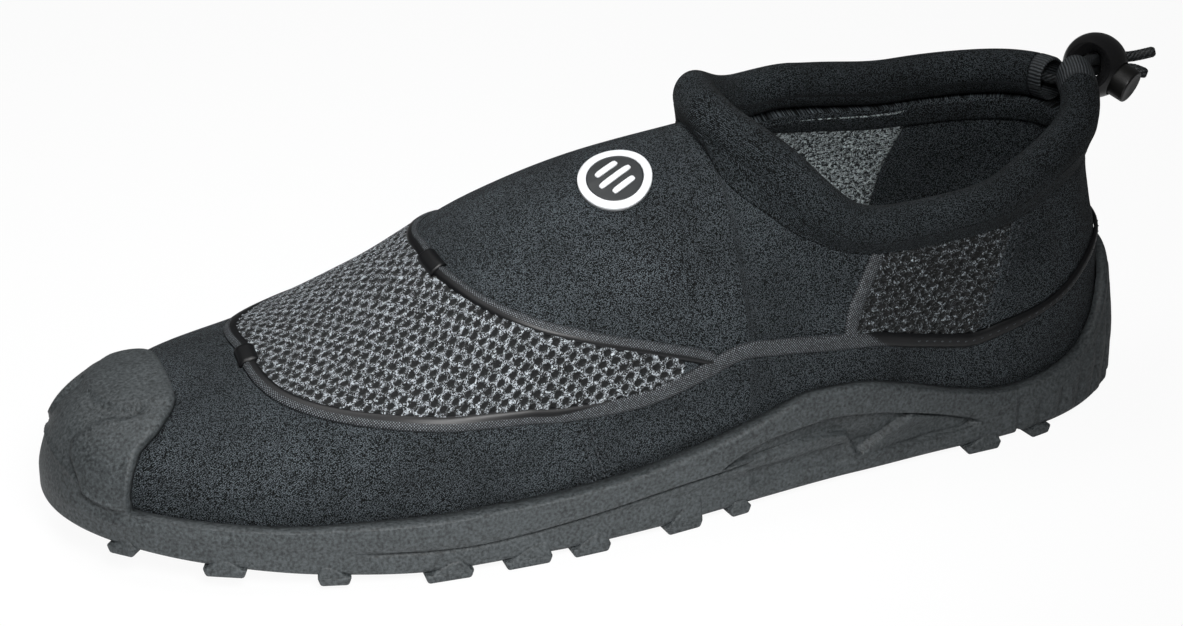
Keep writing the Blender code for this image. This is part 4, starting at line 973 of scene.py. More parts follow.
def buildSole():
    half = soleGrid["columns"] // 2
    walk = np.linspace(0, 1, half + 1)
    loop = np.concatenate([1 - walk[::-1], 1 + walk[1:-1]])
    rows = soleRows(loop)
    faces = gridFaces(len(rows), len(loop), True).tolist()
    faces += ladderFaces(len(loop), 0) + ladderFaces(len(loop), (len(rows) - 1) * len(loop))
    settle(meshFrom("rubberSole", rows, faces, paints["rubber"], merge=True), ("sole",))


def buildLugs():
    # Tapered blocks: eight corners each, the side ones climbing the wall to a small tip.
    points = []

    def add(centre, along, across, lowZ, highZ, footSize, topSize, slide, ahead):
        for z, (length, width), shift, lead in ((lowZ, footSize, 0, 0), (highZ, topSize, slide, ahead)):
            for a, b in ((-1, -1), (1, -1), (1, 1), (-1, 1)):
                p = centre + along * (a * length / 2 + lead) + across * (b * width / 2 + shift)
                points.append((p[0], p[1], z))

    for share, length, climb, lead in lugTable:
        for side in (-1, 1):
            loop = 1 + side * walkOf(share)
            foot = lastPoint(loop, 0)
            out = wallNormal(np.array([loop]), np.array([0.0]))[0]
            along = np.array([-out[1], out[0], 0.0])
            along = along * (1 if along[0] > 0 else -1)
            centre = foot + out * (sole["edge"] + sole["lugStand"] - sole["lugDepth"] / 2)
            low = float(groundAt(share))
            size = (length / 1000, sole["lugDepth"])
            top = low + sole["lugHeight"]
            add(centre, along, out, low, top + 0.0003, (size[0] - sole["lugDraft"], size[1] - 0.0004), size,
                0, 0)
            slide = (sole["lugDepth"] - sole["lugTip"]) / 2 - sole["lugStand"] * 0.8
            add(centre, along, out, low + sole["lugHeight"] * 0.8, top + climb / 1000,
                (size[0] * 0.98, size[1] - 0.0002), (0.0026, sole["lugTip"]), slide, lead / 1000)
    for share in sole["blockShares"]:
        inner = lastPoint(1 + walkOf(share), 0)
        outer = lastPoint(1 - walkOf(share), 0)
        middle = (inner + outer) / 2
        room = (inner[1] - outer[1]) / 2 + sole["edge"] - sole["lugDepth"] - sole["blockSpace"]
        room = room - sole["blockWidth"] / 2
        places = (-room, 0, room) if room > sole["blockWidth"] + sole["blockSpace"] / 2 else (0,)
        for place in places:
            low = float(groundAt(share))
            size = (sole["blockLength"], sole["blockWidth"])
            add(middle * [1, 1, 0] + [0, place, 0], np.array([1.0, 0, 0]), np.array([0, 1.0, 0]), low,
                low + sole["lugHeight"] + 0.002, size, (size[0] + 0.001, size[1] + 0.001), 0, 0)
    block = np.array([(0, 3, 2, 1), (4, 5, 6, 7), (0, 1, 5, 4), (1, 2, 6, 5), (2, 3, 7, 6), (3, 0, 4, 7)])
    starts = np.arange(0, len(points), 8)
    faces = (starts[:, None, None] + block[None]).reshape(-1, 4)
    piece = meshFrom("rubberLugs", np.array(points), faces, paints["rubber"], merge=True, sharp=30)
    bevel = piece.modifiers.new("worn edges", "BEVEL")
    bevel.width = 0.0007
    bevel.segments = 3
    bevel.harden_normals = False
    settle(piece)


buildSole()
buildLugs()
print("stage: sole")

bothLabels = (("Lateral", -1), ("Medial", 1))
# Upper: one closed shell, its outer face with the listed folds
upper = {"columns": 330, "outerRows": 90, "innerRows": 24, "wall": 0.0028}
# Soft troughs (negative) and ridges: side, walk and turn of both ends, width mm, depth mm
folds = (
    (-1, 0.875, 0.10, 0.885, 0.55, 5.0, -0.9), (-1, 0.945, 0.16, 0.925, 0.45, 4.0, -0.8),
    (-1, 0.985, 0.20, 0.97, 0.50, 6.0, -1.0), (-1, 0.855, 0.14, 0.862, 0.62, 2.6, 0.35),
    (-1, 0.70, 0.30, 0.60, 0.47, 9.0, -0.7), (-1, 0.665, 0.22, 0.56, 0.36, 7.0, -0.5),
    (-1, 0.60, 0.20, 0.55, 0.42, 8.0, 0.5), (-1, 0.52, 0.72, 0.66, 0.70, 2.6, -0.5),
    (-1, 0.50, 0.83, 0.64, 0.80, 1.8, 0.45), (-1, 0.56, 0.77, 0.70, 0.76, 2.2, -0.4),
    (-1, 0.13, 0.62, 0.20, 0.50, 6.0, -0.5), (-1, 0.30, 0.72, 0.42, 0.80, 7.0, -0.5),
    (-1, 0.20, 0.82, 0.33, 0.90, 4.0, -0.5), (-1, 0.72, 0.80, 0.84, 0.86, 3.0, -0.5),
    (1, 0.88, 0.12, 0.89, 0.55, 5.0, -0.8), (1, 0.96, 0.20, 0.94, 0.50, 5.0, -0.8),
    (1, 0.66, 0.25, 0.57, 0.40, 8.0, -0.6), (1, 0.30, 0.70, 0.42, 0.78, 7.0, -0.5),
    (1, 0.52, 0.72, 0.68, 0.74, 3.0, -0.5), (1, 0.62, 0.45, 0.66, 0.62, 7.0, -0.5),
)


def upperRelief(walk, turn, side, map2):
    # Height in metres over the last: one bell-shaped trough or ridge for each fold.
    out = np.zeros(walk.shape)
    for foldSide, w0, t0, w1, t1, width, depth in folds:
        ends = clothMap(np.array([w0, w1]), np.array([t0, t1]), np.array([foldSide, foldSide]))
        distance, t = lineDistance(map2, ends[0], ends[1])
        taper = 1 - 0.75 * np.abs(2 * t - 1) ** 3
        out = out + np.where(side == foldSide, depth * hump(distance, width) * taper, 0)
    return out * 0.001 * ease(turn / 0.05)


def buildUpper():
    walk = np.linspace(0, 1, upper["columns"] + 1)
    loop = np.concatenate([1 - walk[::-1], 1 + walk[1:-1]])
    count = len(loop)
    side = np.where(loop > 1, 1.0, -1.0)
    outerGirth = np.linspace(0, 1, upper["outerRows"])
    lo, go = np.meshgrid(loop, outerGirth)
    so = np.broadcast_to(side, lo.shape)
    mapOuter = clothMap(np.abs(lo - 1), 1 - go, so)
    outer = lastPoint(lo, go)
    outer = outer + lastNormal(lo, go) * upperRelief(np.abs(lo - 1), 1 - go, so, mapOuter)[..., None]
    innerGirth = np.linspace(1, 0, upper["innerRows"])
    li, gi = np.meshgrid(loop, innerGirth)
    inner = lastPoint(li, gi) - lastNormal(li, gi) * upper["wall"]
    closed = shareOf(loop) <= collarFront
    partner = (count - np.arange(count)) % count
    inner[0] = np.where(closed[:, None], (inner[0] + inner[0][partner]) / 2, inner[0])
    outer[-1] = np.where(closed[:, None], (outer[-1] + outer[-1][partner]) / 2, outer[-1])
    mapInner = clothMap(np.abs(li - 1), 1 - gi, np.broadcast_to(side, li.shape))
    points = np.concatenate([outer, inner])
    top = upper["outerRows"] - 1
    band = ringFaces(len(points), count).reshape(len(points), count, 4)
    both = closed & np.roll(closed, -1)
    kept = [band[:top].reshape(-1, 4), band[top][~both], band[top + 1:].reshape(-1, 4)]
    piece = meshFrom("upperShell", points, np.concatenate(kept), paints["jersey"],
                     np.concatenate([mapOuter, mapInner]), merge=True)
    settle(piece, ("upper",))


buildUpper()
print("stage: upper")


def seamPath(rows, count, low=0.0, high=1.0):
    # Even points of a seam in walk and turn, between two shares of its run.
    t = np.linspace(0, 1, len(rows["walk"]))
    fine = np.linspace(0, 1, 500)
    walk = curveThrough(t, rows["walk"], fine)
    turn = curveThrough(t, rows["turn"], fine)
    run = runOf(overRidge(walk, -turn)[0])
    at = np.interp(np.linspace(low * run[-1], high * run[-1], count), run, fine)
    return np.interp(at, fine, walk), np.interp(at, fine, turn)


def patch(name, paint, knit, rowsLow, rowsHigh, across, lift, thickness, oneSide=0):
    # Ruled sheet between two seams: one parameter along them, the other across, dimpled at each hole.
    s = np.linspace(0, 1, across)[None, :]
    walk, turn = (low[:, None] * (1 - s) + high[:, None] * s for low, high in zip(rowsLow, rowsHigh))
    side = oneSide + 0 * walk
    turn = oneSide * turn if oneSide else turn
    if not oneSide:
        along = len(walk)
        walk = np.concatenate([walk[::-1], walk[1:]])
        turn = np.concatenate([-turn[::-1], turn[1:]])
        side = np.where(np.arange(len(walk)) < along, -1.0, 1.0)[:, None] + 0 * walk
    map2 = clothMap(walk, np.abs(turn), side)
    base, n = overRidge(walk, np.where(side > 0, np.maximum(turn, 1e-7), turn))
    r, c = (np.minimum(np.arange(k), k - 1 - np.arange(k)) / 3.0 for k in walk.shape)
    border = np.minimum(c, 1)[None, :] * (np.minimum(r, 1)[:, None] if oneSide else 1 + 0 * r[:, None])
    puff = lift * (0.25 + 0.75 * border) - knitDepth(map2, knit) * border
    piece = meshFrom(name, base + n * puff[..., None], gridFaces(*walk.shape), paint, map2)
    settle(piece)
    asSheet(piece, thickness)


def buildVamp():
    # The two seams' first rows, then the rounded tip of the mesh.
    tips = (((0.535, 0.642), (0.547, 0.625), (0.551, 0.603)),
            ((0.541, 0.560), (0.549, 0.583), (0.551, 0.603)))
    paths = [seamPath(table("walk turn", (*zip(seam["walk"][:10], seam["turn"][:10]), *tip)), 170)
             for seam, tip in zip((lowSeam, highSeam), tips)]
    patch("vampMesh", paints["vamp"], vampKnit, *paths, 84, 0.00085, 0.0005)


def buildQuarters():
    front = table("walk turn", ((0.683, 0.592), (0.688, 0.44), (0.697, 0.290), (0.711, 0.012)))
    back = table("walk turn", ((0.790, 0.72), (0.801, 0.58), (0.815, 0.30), (0.829, 0.012)))
    for label, side in bothLabels:
        patch("quarterMesh" + label, paints["quarter"], quarterKnit, seamPath(front, 90), seamPath(back, 90),
              80, 0.0006, 0.0004, side)


def buildLinings():
    # Heather mesh lining behind each quarter, seen through the opening; cells dimple into the wall.
    for label, side in bothLabels:
        s = np.linspace(0, 1, 90)[:, None]
        turn = 0.03 + 0.66 * np.linspace(0, 1, 110)[None, :] + 0 * s
        right = np.interp(turn, (0.14, 0.42, 0.60), (0.806, 0.790, 0.782))
        walk = 0.668 + (right - 0.668) * s
        map2 = clothMap(walk, turn, side + 0 * walk)
        base, n = overRidge(walk, side * turn)
        fade = np.minimum(1, np.minimum(s, 1 - s) / 0.03)
        deep = upper["wall"] + 0.0002 + 0.0006 * fade - knitDepth(map2, liningKnit)
        faces = gridFaces(*walk.shape)[:, ::-1]
        piece = meshFrom("liningMesh" + label, base - n * deep[..., None], faces, paints["lining"], map2)
        asSheet(piece, 0.0003)
        settle(piece)


# Double-stitched seams: a strip of cloth with a welt, two stitched troughs and puckers beside them
pucker = {"half": 0.0046, "apart": 1.2, "welt": 0.42, "trough": 0.40, "crease": 0.30, "pitch": 2.3,
          "lift": 0.22}


def seamStrip(name, rows, side, low=0.0, high=1.0):
    walk, turn = seamPath(rows, 260, low, high)
    across = np.linspace(-1, 1, 57)[None, :]
    mm = across * pucker["half"] * 1000
    w = walk[:, None] + across * pucker["half"] / 0.335
    t = turn[:, None] + 0 * w
    base, n = overRidge(w, side * t)
    run = runOf(base[:, 28])[:, None] * 1000
    height = pucker["welt"] * hump(mm, 1.9)
    for sign in (-1, 1):
        height = height - pucker["trough"] * hump(mm - sign * pucker["apart"], 0.33)
        wave = np.sin(run / pucker["pitch"] * 2 * math.pi + 1.3 * np.sin(run * 0.9) + sign)
        height = height + pucker["crease"] * wave * hump(mm - sign * (pucker["apart"] + 0.5), 1.0)
    fade = 1 - np.abs(across) ** 6
    ends = np.minimum(1, np.minimum(run, run[-1] - run) / 0.8)
    height = ((pucker["lift"] + height) * fade * ends - 0.12 * (1 - fade * ends)) * 0.001
    piece = meshFrom(name, base + n * height[..., None], gridFaces(*w.shape), paints["jersey"],
                     clothMap(w, t, side + 0 * w))
    settle(piece)


buildVamp()
buildQuarters()
buildLinings()
for strip, rows in (("seamCross", crossSeam), ("seamRear", rearSeam)):
    seamStrip(strip + "Lateral", rows, -1)
    seamStrip(strip + "Medial", rows, 1)
print("stage: mesh panels")


def bothSides(rows, count):
    # A seam's points and normals on both sides, outer end to inner end, with their walk.
    walk, turn = seamPath(rows, count)
    outer, outerNormal = overRidge(walk[::-1], -turn[::-1])
    inner, innerNormal = overRidge(walk[1:], np.maximum(turn[1:], 1e-7))
    return (np.concatenate([outer, inner]), np.concatenate([outerNormal, innerNormal]),
            np.concatenate([walk[::-1], walk[1:]]))


def tapeStrip(name, points, normals, width, rise=tape["rise"], closed=False, paint=None, satin=None,
              seat=tape["seat"], wave=0.0, satinSide=1):
    # Flat domed profile carried along a path on the shoe; satin is the smooth share of its width.
    count = len(points)
    ahead = np.roll(points, -1, 0) - np.roll(points, 1, 0)
    if not closed:
        ahead[0] = points[1] - points[0]
        ahead[-1] = points[-1] - points[-2]
    across = unit(np.cross(normals, ahead))
    t = np.linspace(-1, 1, 15)
    lift = (1 - np.abs(t) ** 3.5) * 0.85 + 0.15 * (1 - np.abs(t) ** 12)
    run = runOf(points)
    width = np.broadcast_to(width, count)
    lumps = 1 + wave * np.sin(run * 2 * math.pi / 0.0045)
    top = (points[:, None] + across[:, None] * (t[None] * width[:, None] / 2)[..., None]
           + normals[:, None] * (seat + rise * lift[None] * lumps[:, None])[..., None])
    under = points[:, None] + across[:, None] * (t[None, ::-1] * width[:, None] / 2)[..., None]
    under = under + normals[:, None] * (seat * 0.25)
    ring = np.concatenate([top, under[:, 1:-1]], 1)
    each = ring.shape[1]
    ends = np.concatenate([t, t[1:-1][::-1]])
    cloth = mapped(run[:, None] * 1000, ends[None] * width[:, None] * 500)
    share = np.zeros((count, 1)) if satin is None else np.asarray(satin, float)[:, None]
    smooth = ease((ends[None] * satinSide - (1 - 2 * share)) / 0.12 + 0.5) * (share > 0.01)
    faces = ringFaces(count, each) if closed else tubeFaces(count, each)
    marks = {"satin": np.broadcast_to(smooth, (count, each))}
    return meshFrom(name, ring, faces, paint or paints["tape"], cloth, marks, merge=True)


def evened(rows, walk):
    # Running mean where the last's section changes at the collar's front, faded in and out.
    near = hump(walk - 0.605, 0.05)[:, None]
    reach = 13
    weight = np.hanning(2 * reach + 1)
    weight = weight / weight.sum()
    padded = np.concatenate([rows[:1].repeat(reach, 0), rows, rows[-1:].repeat(reach, 0)])
    mean = np.stack([np.convolve(column, weight, "valid") for column in padded.T], -1)
    return rows * (1 - near) + mean * near


def buildTapes():
    points, normals, walk = bothSides(lowSeam, 330)
    points, normals = evened(points, walk), unit(evened(normals, walk))
    width = tape["width"] * (1 - 0.30 * ease((walk - 0.80) / 0.06))
    satin = 0.56 * ease((0.52 - walk) / 0.08) + ease((walk - 0.69) / 0.03)
    settle(tapeStrip("tapeLow", points[:-1], normals[:-1], width[:-1], closed=True, satin=satin[:-1],
                     satinSide=-1), ("piping_low",))
    points, normals, walk = bothSides(highSeam, 150)
    satin = 0.42 + 0.2 * ease((0.45 - walk) / 0.04)
    settle(tapeStrip("tapeInstep", points, normals, tape["width"] * 0.86, satin=satin),
           ("piping_instep",))
    walk, turn = seamPath(quarterSeam, 60)
    for label, side in bothLabels:
        points, normals = overRidge(walk, side * turn)
        settle(tapeStrip("tapeQuarter" + label, points, normals, tape["width"] * 0.9),
               ("piping_quarter_" + label.lower(),))


def buildJoints():
    # Short satin sleeves where the ends of the tapes are joined, near the ridge on the outer side.
    for label, rows, at, width in (("Low", lowSeam, 0.045, 0.0056), ("Instep", highSeam, 0.075, 0.0052)):
        walk, turn = seamPath(rows, 400)
        points, normals = overRidge(walk, -turn)
        run = runOf(points)
        keep = np.abs(run - run[np.argmin(np.abs(turn - at))]) < 0.0042
        settle(tapeStrip("tapeJoint" + label, points[keep], normals[keep], width, 0.0016,
                         satin=np.ones(int(keep.sum()))))


buildTapes()
buildJoints()
print("stage: tapes")


def buildRoll():
    # Tube whose radius wavers slightly along its run, closed by flat ends inside the ribbon rings.
    at = np.linspace(*rollEnds, roll["rings"])
    centre, _, up, side, tall = rollAt(at)
    t = at / rollWay[-1]
    waver = 1 + 0.012 * np.sin(t * 31 + 0.7) + 0.008 * np.sin(t * 67 + 2.1)
    rings = tubeRings(centre, up, side, tall * waver, roll["thick"] * (2 - waver), roll["around"])
    turn = circle(roll["around"])
    inFront = hump(at - rollWay[np.argmin(np.abs(rollLoop - 1))], 0.032)
    crease = 0.00022 * np.sin(at / 0.0040 * 2 * math.pi + 1.5 * np.sin(at * 300)) * inFront
    crease = crease[:, None] * np.clip(np.cos(turn + 0.4), 0, 1)[None]
    rings = rings + unit(rings - centre[:, None]) * crease[..., None]
    cloth = mapped(at[:, None] * 1000, np.linspace(0, 36, roll["around"], endpoint=False)[None])
    piece = meshFrom("collarRoll", rings, tubeFaces(roll["rings"], roll["around"]), paints["collar"], cloth,
                     merge=True)
    settle(piece, ("collar_tunnel",))


def buildBindings():
    # Ribbon rings: an outer and an inner tube with rounded lips, ribbed across.
    full = rollWay[-1]
    for label, start in (("Lateral", roll["mouthLateral"]),
                         ("Medial", full - roll["mouthMedial"] - roll["binding"])):
        at = np.linspace(start, start + roll["binding"], 22)
        centre, _, up, side, tall = rollAt(at)
        lip = 1 - 0.2 * np.clip(np.abs(np.linspace(-1, 1, 22)) - 0.75, 0, 1)
        outer = tubeRings(centre, up, side, tall * lip, roll["thick"] * lip, 48)
        inner = tubeRings(centre, up, side, tall - 0.0016, roll["thick"] - 0.0016, 48)
        rows = np.concatenate([outer, inner[::-1], outer[:1]])
        run = np.concatenate([at, at[::-1], at[:1]]) * 1000
        cloth = mapped(np.linspace(0, 34, 48, endpoint=False)[None], run[:, None])
        piece = meshFrom("ribbonRing" + label, rows, gridFaces(len(rows), 48, True), paints["ribbon"], cloth,
                         merge=True)
        settle(piece, ("mouth_binding_" + label.lower(),))


# Where the skirt leaves the roll: degrees round its section and share of its radius
skirt = {"angle": 212, "inset": 0.95}
# Foot of the roll: walk on the collar's edge, and walk and turn of the seam below it
skirtTable = table("edge walk turn", (
    (0.5905, 0.585, 0.000), (0.594, 0.593, 0.060), (0.600, 0.600, 0.100), (0.612, 0.611, 0.118),
    (0.630, 0.629, 0.108), (0.650, 0.650, 0.085), (0.670, 0.670, 0.036), (0.690, 0.690, 0.018),
    (0.72, 0.720, 0.018), (0.75, 0.750, 0.028), (0.80, 0.800, 0.030), (0.85, 0.850, 0.060),
    (0.90, 0.900, 0.068), (0.95, 0.950, 0.075), (0.985, 0.985, 0.085),
))


def skirtSeam():
    # Seam points and normals round the collar, outer side to inner side, with their loop coordinate.
    front = float(walkOf(collarFront)) + 0.0006
    bend = front + 0.03 * np.linspace(1, 0, 150)[1:] ** 2
    edge = np.maximum(np.concatenate([np.linspace(0.985, front + 0.03, 150), bend]), front)
    walk = readTable(skirtTable, "walk", edge, "edge")
    turn = np.maximum(readTable(skirtTable, "turn", edge, "edge"), 1e-6)
    outer = overRidge(walk, -turn)
    inner = overRidge(walk[::-1][1:], turn[::-1][1:])
    loops = 1 + np.concatenate([-edge, edge[::-1][1:]])
    return np.concatenate([outer[0], inner[0]]), np.concatenate([outer[1], inner[1]]), loops


def buildSkirt():
    # Jersey drawn from the roll's outer face down to the collar seam: a curve between the two.
    foot, n, loops = skirtSeam()
    centre, _, up, side, tall = rollAt(np.interp(loops, rollLoop, rollWay))
    angle = math.radians(skirt["angle"])
    top = centre + up * (math.sin(angle) * tall / 2 * skirt["inset"])[:, None]
    top = top + side * math.cos(angle) * roll["thick"] / 2 * skirt["inset"]
    t = np.linspace(0, 1, 12)[:, None, None]
    mid = (top + foot) / 2 - side * 0.0001
    curve = top * (1 - t) ** 2 + mid * 2 * t * (1 - t) + (foot + n * 0.0007) * t * t
    rows = np.concatenate([curve, (foot + n * 0.00005)[None]])
    cloth = mapped(runOf(foot)[None] * 1000, np.linspace(0, 6, len(rows))[:, None])
    piece = meshFrom("collarSkirt", rows, gridFaces(len(rows), len(foot)), paints["collar"], cloth)
    asSheet(piece, 0.0004, 1)
    settle(piece)


def buildCollarWelt():
    # Thin raised welt on the collar seam and the stitched band inside, under the roll.
    foot, n, _ = skirtSeam()
    settle(tapeStrip("collarWelt", foot, n, 0.0015, 0.0008, paint=paints["collar"], wave=0.1))
    front = float(walkOf(collarFront)) + 0.004
    fine = np.concatenate([np.linspace(0.012, 1 - front, 170), np.linspace(1 + front, 1.988, 170)])
    total = np.linalg.norm(lastPoint(fine, 1) - lastPoint(fine, 0.9), axis=-1) * 10
    girth = 1 - 0.0036 / total
    points = lastPoint(fine, girth)
    normals = -lastNormal(fine, girth)
    settle(tapeStrip("innerBand", points + normals * upper["wall"], normals, 0.0056, 0.0011,
                     paint=paints["collar"], seat=0.0003))


buildRoll()
buildBindings()
buildSkirt()
buildCollarWelt()
print("stage: collar")

# Stitches: short rounded bars along a seam
stitch = {"length": 0.0017, "gap": 0.0007, "thick": 0.00042, "rings": 5, "around": 7}
# Its rings: share of the length, size and height
stitchRings = ((0, 0.35, 0.1), (0.2, 0.95, 0.75), (0.5, 1.0, 1.0), (0.8, 0.95, 0.75), (1, 0.35, 0.1))


def stitchRow(points, normals, rise):
    # One capsule for each stitch: five rings from end to end, placed along the path.
    run = runOf(points)
    start = np.arange(0.0005, run[-1] - stitch["length"], stitch["length"] + stitch["gap"])
    step = 0.0001
    turn = circle(stitch["around"])
    made = []
    for share, size, lift in stitchRings:
        at = start + stitch["length"] * share
        n = unit(readRows(at, run, normals))
        across = unit(np.cross(n, readRows(at + step, run, points) - readRows(at - step, run, points)))
        centre = readRows(at, run, points) + n * (rise * lift)
        radius = stitch["thick"] / 2 * size
        made.append(centre[:, None] + across[:, None] * (np.cos(turn) * radius)[None, :, None]
                    + n[:, None] * (np.sin(turn) * radius)[None, :, None])
    return np.stack(made, 1)


def buildStitches():
    foot, n, _ = skirtSeam()
    runs = [stitchRow(foot + n * 0.0004, n, 0.0006)]
    walk, turn = seamPath(lowSeam, 200, 0.70, 1.0)
    for side in (-1, 1):
        runs.append(stitchRow(*overRidge(walk, side * turn), tape["seat"] + tape["rise"]))
    for rows, apart in ((crossSeam, 0.00115), (rearSeam, 0.0012)):
        for side in (-1, 1):
            walk, turn = seamPath(rows, 60)
            p, m = overRidge(walk, side * turn)
            across = unit(np.cross(m, np.gradient(p, axis=0)))
            runs += [stitchRow(p + across * shift, m, 0.00055) for shift in (-apart, apart)]
    stitches = np.concatenate(runs)
    rings, around = stitch["rings"], stitch["around"]
    first = np.arange(len(stitches))[:, None] * rings * around
    faces = (first[..., None] + gridFaces(rings, around, True)[None]).reshape(-1, 4).tolist()
    caps = np.arange(around)
    faces += (first + caps[::-1]).tolist() + (first + (rings - 1) * around + caps).tolist()
    cloth = mapped(np.arange(rings)[None, :, None] * 0.4, caps * 0.2 + 0 * first[..., None])
    settle(meshFrom("seamStitches", stitches, faces, paints["thread"], cloth))


buildStitches()
print("stage: stitches")

# Badge: oval plate with a raised white rim, a black field and plain ribs
badge = {"walk": 0.534, "turn": -0.125, "wide": 0.0185, "tall": 0.0190, "thick": 0.0016, "seat": 0.0004,
         "rimFrom": 0.77, "field": 0.0010, "around": 96, "tilt": 0.35, "barHalf": 0.085}


def badgePoint(x, y, out):
    # Point on the instep at local shares x along the shoe and y up it, raised by out.
    centre = overRidge(badge["walk"], badge["turn"])[0]
    step = 0.01
    ahead = float(np.linalg.norm(overRidge(badge["walk"] + step, badge["turn"])[0] - centre)) / step
    across = float(np.linalg.norm(overRidge(badge["walk"], badge["turn"] - step)[0] - centre)) / step
    p, n = overRidge(badge["walk"] + x * badge["wide"] / 2 / ahead,
                     badge["turn"] + y * badge["tall"] / 2 / across)
    return p + n * (badge["seat"] + np.asarray(out))[..., None]


def buildBadge():
    turn = circle(badge["around"])
    edge = badge["rimFrom"]
    profile = [(edge, 0.0002), (edge, 0.0010)]
    arc = np.linspace(0, math.pi, 12)
    middle = (edge + 1) / 2
    profile += [(middle - (1 - edge) / 2 * math.cos(a), 0.0011 + 0.0005 * math.sin(a)) for a in arc]
    profile += [(1.0, 0.0)]
    rows = np.array([badgePoint(r * np.cos(turn), r * np.sin(turn), h + 0 * turn) for r, h in profile])
    faces = ringFaces(len(rows), badge["around"])
    settle(meshFrom("badgeRim", rows, faces, paints["badgeRim"], merge=True), ("badge",))
    radii = np.linspace(0.0, edge + 0.01, 12)
    flat = badge["field"] + 0 * turn
    disc = np.array([badgePoint(r * np.cos(turn), r * np.sin(turn), flat) for r in radii])
    low = np.array([badgePoint((edge + 0.01) * np.cos(turn), (edge + 0.01) * np.sin(turn), 0 * turn)])
    rows = np.concatenate([disc, low])
    faces = gridFaces(len(rows), badge["around"], True).tolist() + lids(len(rows), badge["around"])[1:]
    settle(meshFrom("badgeField", rows, faces, paints["badgeField"], merge=True))
    ribs = []
    t = circle(40)
    power = 2 / 5
    boxX = np.sign(np.cos(t)) * np.abs(np.cos(t)) ** power
    boxY = np.sign(np.sin(t)) * np.abs(np.sin(t)) ** power
    faces = []
    cos, sin = math.cos(badge["tilt"]), math.sin(badge["tilt"])
    for y, half in ((-0.36, 0.36), (0.0, 0.52), (0.36, 0.36)):
        start = len(ribs) * 40
        for grow, high in ((1.0, 0.0008), (1.0, 0.0013), (0.9, 0.0015), (0.5, 0.0015), (0.02, 0.0015)):
            a, b = half * grow * boxX, badge["barHalf"] * grow * boxY + y
            ribs.append(badgePoint(a * cos - b * sin, a * sin + b * cos, high + 0 * t))
        faces += (gridFaces(5, 40, True) + start).tolist() + lids(5, 40, start)
    settle(meshFrom("badgeRibs", np.array(ribs), faces, paints["badgeRim"], merge=True))


def toPlace(local, place):
    m = np.array(place)
    return local @ m[:3, :3].T + m[:3, 3]


def lathe(profile, axis, count, place):
    # Profile of (along, radius) turned about an axis of the lock's frame.
    turn = circle(count)
    along = np.array([p[0] for p in profile])[:, None] + 0 * turn
    radius = np.array([p[1] for p in profile])[:, None]
    a, b = radius * np.cos(turn), radius * np.sin(turn)
    return toPlace(np.stack([along, a, b] if axis == "x" else [a, b, along], -1), place)


def buildBall():
    # Ball with a mould seam, bored through and flared at its mouth, and a well for the plunger.
    r, bore, mouth, floor = (lock[key] for key in ("ball", "bore", "mouth", "floor"))
    fromMouth = math.asin((mouth + 0.0003) / r)
    sphere = [(r * math.cos(a), r * math.sin(a))
              for a in np.linspace(fromMouth, math.pi - math.asin(bore / r), 60)]
    seam = [(x, q * (1 - 0.012 * math.exp(-((x + 0.0004) / 0.00022) ** 2))) for x, q in sphere]
    flareRun = r * math.cos(fromMouth) - floor
    flare = [(floor + flareRun * t, bore + (mouth - bore) * t * t) for t in np.linspace(0, 1, 10)]
    rear = -r * math.cos(math.asin(bore / r))
    tunnel = [(rear + (floor - rear) * t, bore) for t in np.linspace(0, 1, 8)][1:-1]
    profile = seam + tunnel + flare
    points = lathe(profile, "x", lock["around"], Matrix())
    flat = np.concatenate([np.zeros(len(seam)), np.ones(len(tunnel)), 1 - np.linspace(0, 1, len(flare)) ** 2])
    points[..., 2] *= (1 - lock["flat"] * flat)[:, None]
    ball = meshFrom("lockBall", toPlace(points, lockPlace), ringFaces(len(profile), lock["around"]),
                    paints["ball"], merge=True)
    floorZ = -(lock["into"] + lock["travel"] + roll["gap"])
    wide = lock["plunger"] + lock["slide"]
    well = lathe([(floorZ, wide), (1.3 * r, wide)], "z", lock["wellAround"], lockPlace)
    carve(ball, meshFrom("well", well, tubeFaces(2, lock["wellAround"]), paints["ball"], merge=True))
    ball.data.set_sharp_from_angle(angle=math.radians(32))
    settle(ball, ("lock_ball",))


def buildPlunger():
    # Rounded button with a shallow dish on top and a slot for the two cords.
    p, soft, into, out = (lock[key] for key in ("plunger", "round", "into", "out"))
    arc = np.linspace(0, math.pi / 2, 6)
    profile = [(-into, 0.00001), (-into, p - soft)]
    profile += [(-into + soft - soft * math.cos(a), p - soft + soft * math.sin(a)) for a in arc]
    profile += [(z, p) for z in np.linspace(0, out - soft, 6)]
    profile += [(out - soft + soft * math.sin(a), p - soft + soft * math.cos(a)) for a in arc[1:]]
    profile += [(out - 0.0002, p - 0.0014), (out - 0.0003, 0.00001)]
    points = lathe(profile, "z", lock["wellAround"], lockPlace)
    plunger = meshFrom("lockPlunger", points, tubeFaces(len(profile), lock["wellAround"]), paints["button"],
                       merge=True)
    wide = cord["spread"] + cord["thick"] + lock["room"]
    high = cord["thick"] + lock["travel"] + lock["room"]
    corners = np.array([(x, y, z) for x in (-1, 1) for y in (-1, 1) for z in (-1, 1)], float)
    corners = corners * [1.5 * p, wide / 2, high / 2] + [0, 0, lock["travel"] / 2]
    faces = [(0, 1, 3, 2), (4, 6, 7, 5), (0, 4, 5, 1), (2, 3, 7, 6), (0, 2, 6, 4), (1, 5, 7, 3)]
    carve(plunger, meshFrom("slot", toPlace(corners, lockPlace), faces, paints["button"], merge=True))
    plunger.data.set_sharp_from_angle(angle=math.radians(32))
    settle(plunger, ("lock_plunger",), "lock_plunger")


buildBadge()
buildBall()
buildPlunger()
print("stage: badge and lock")


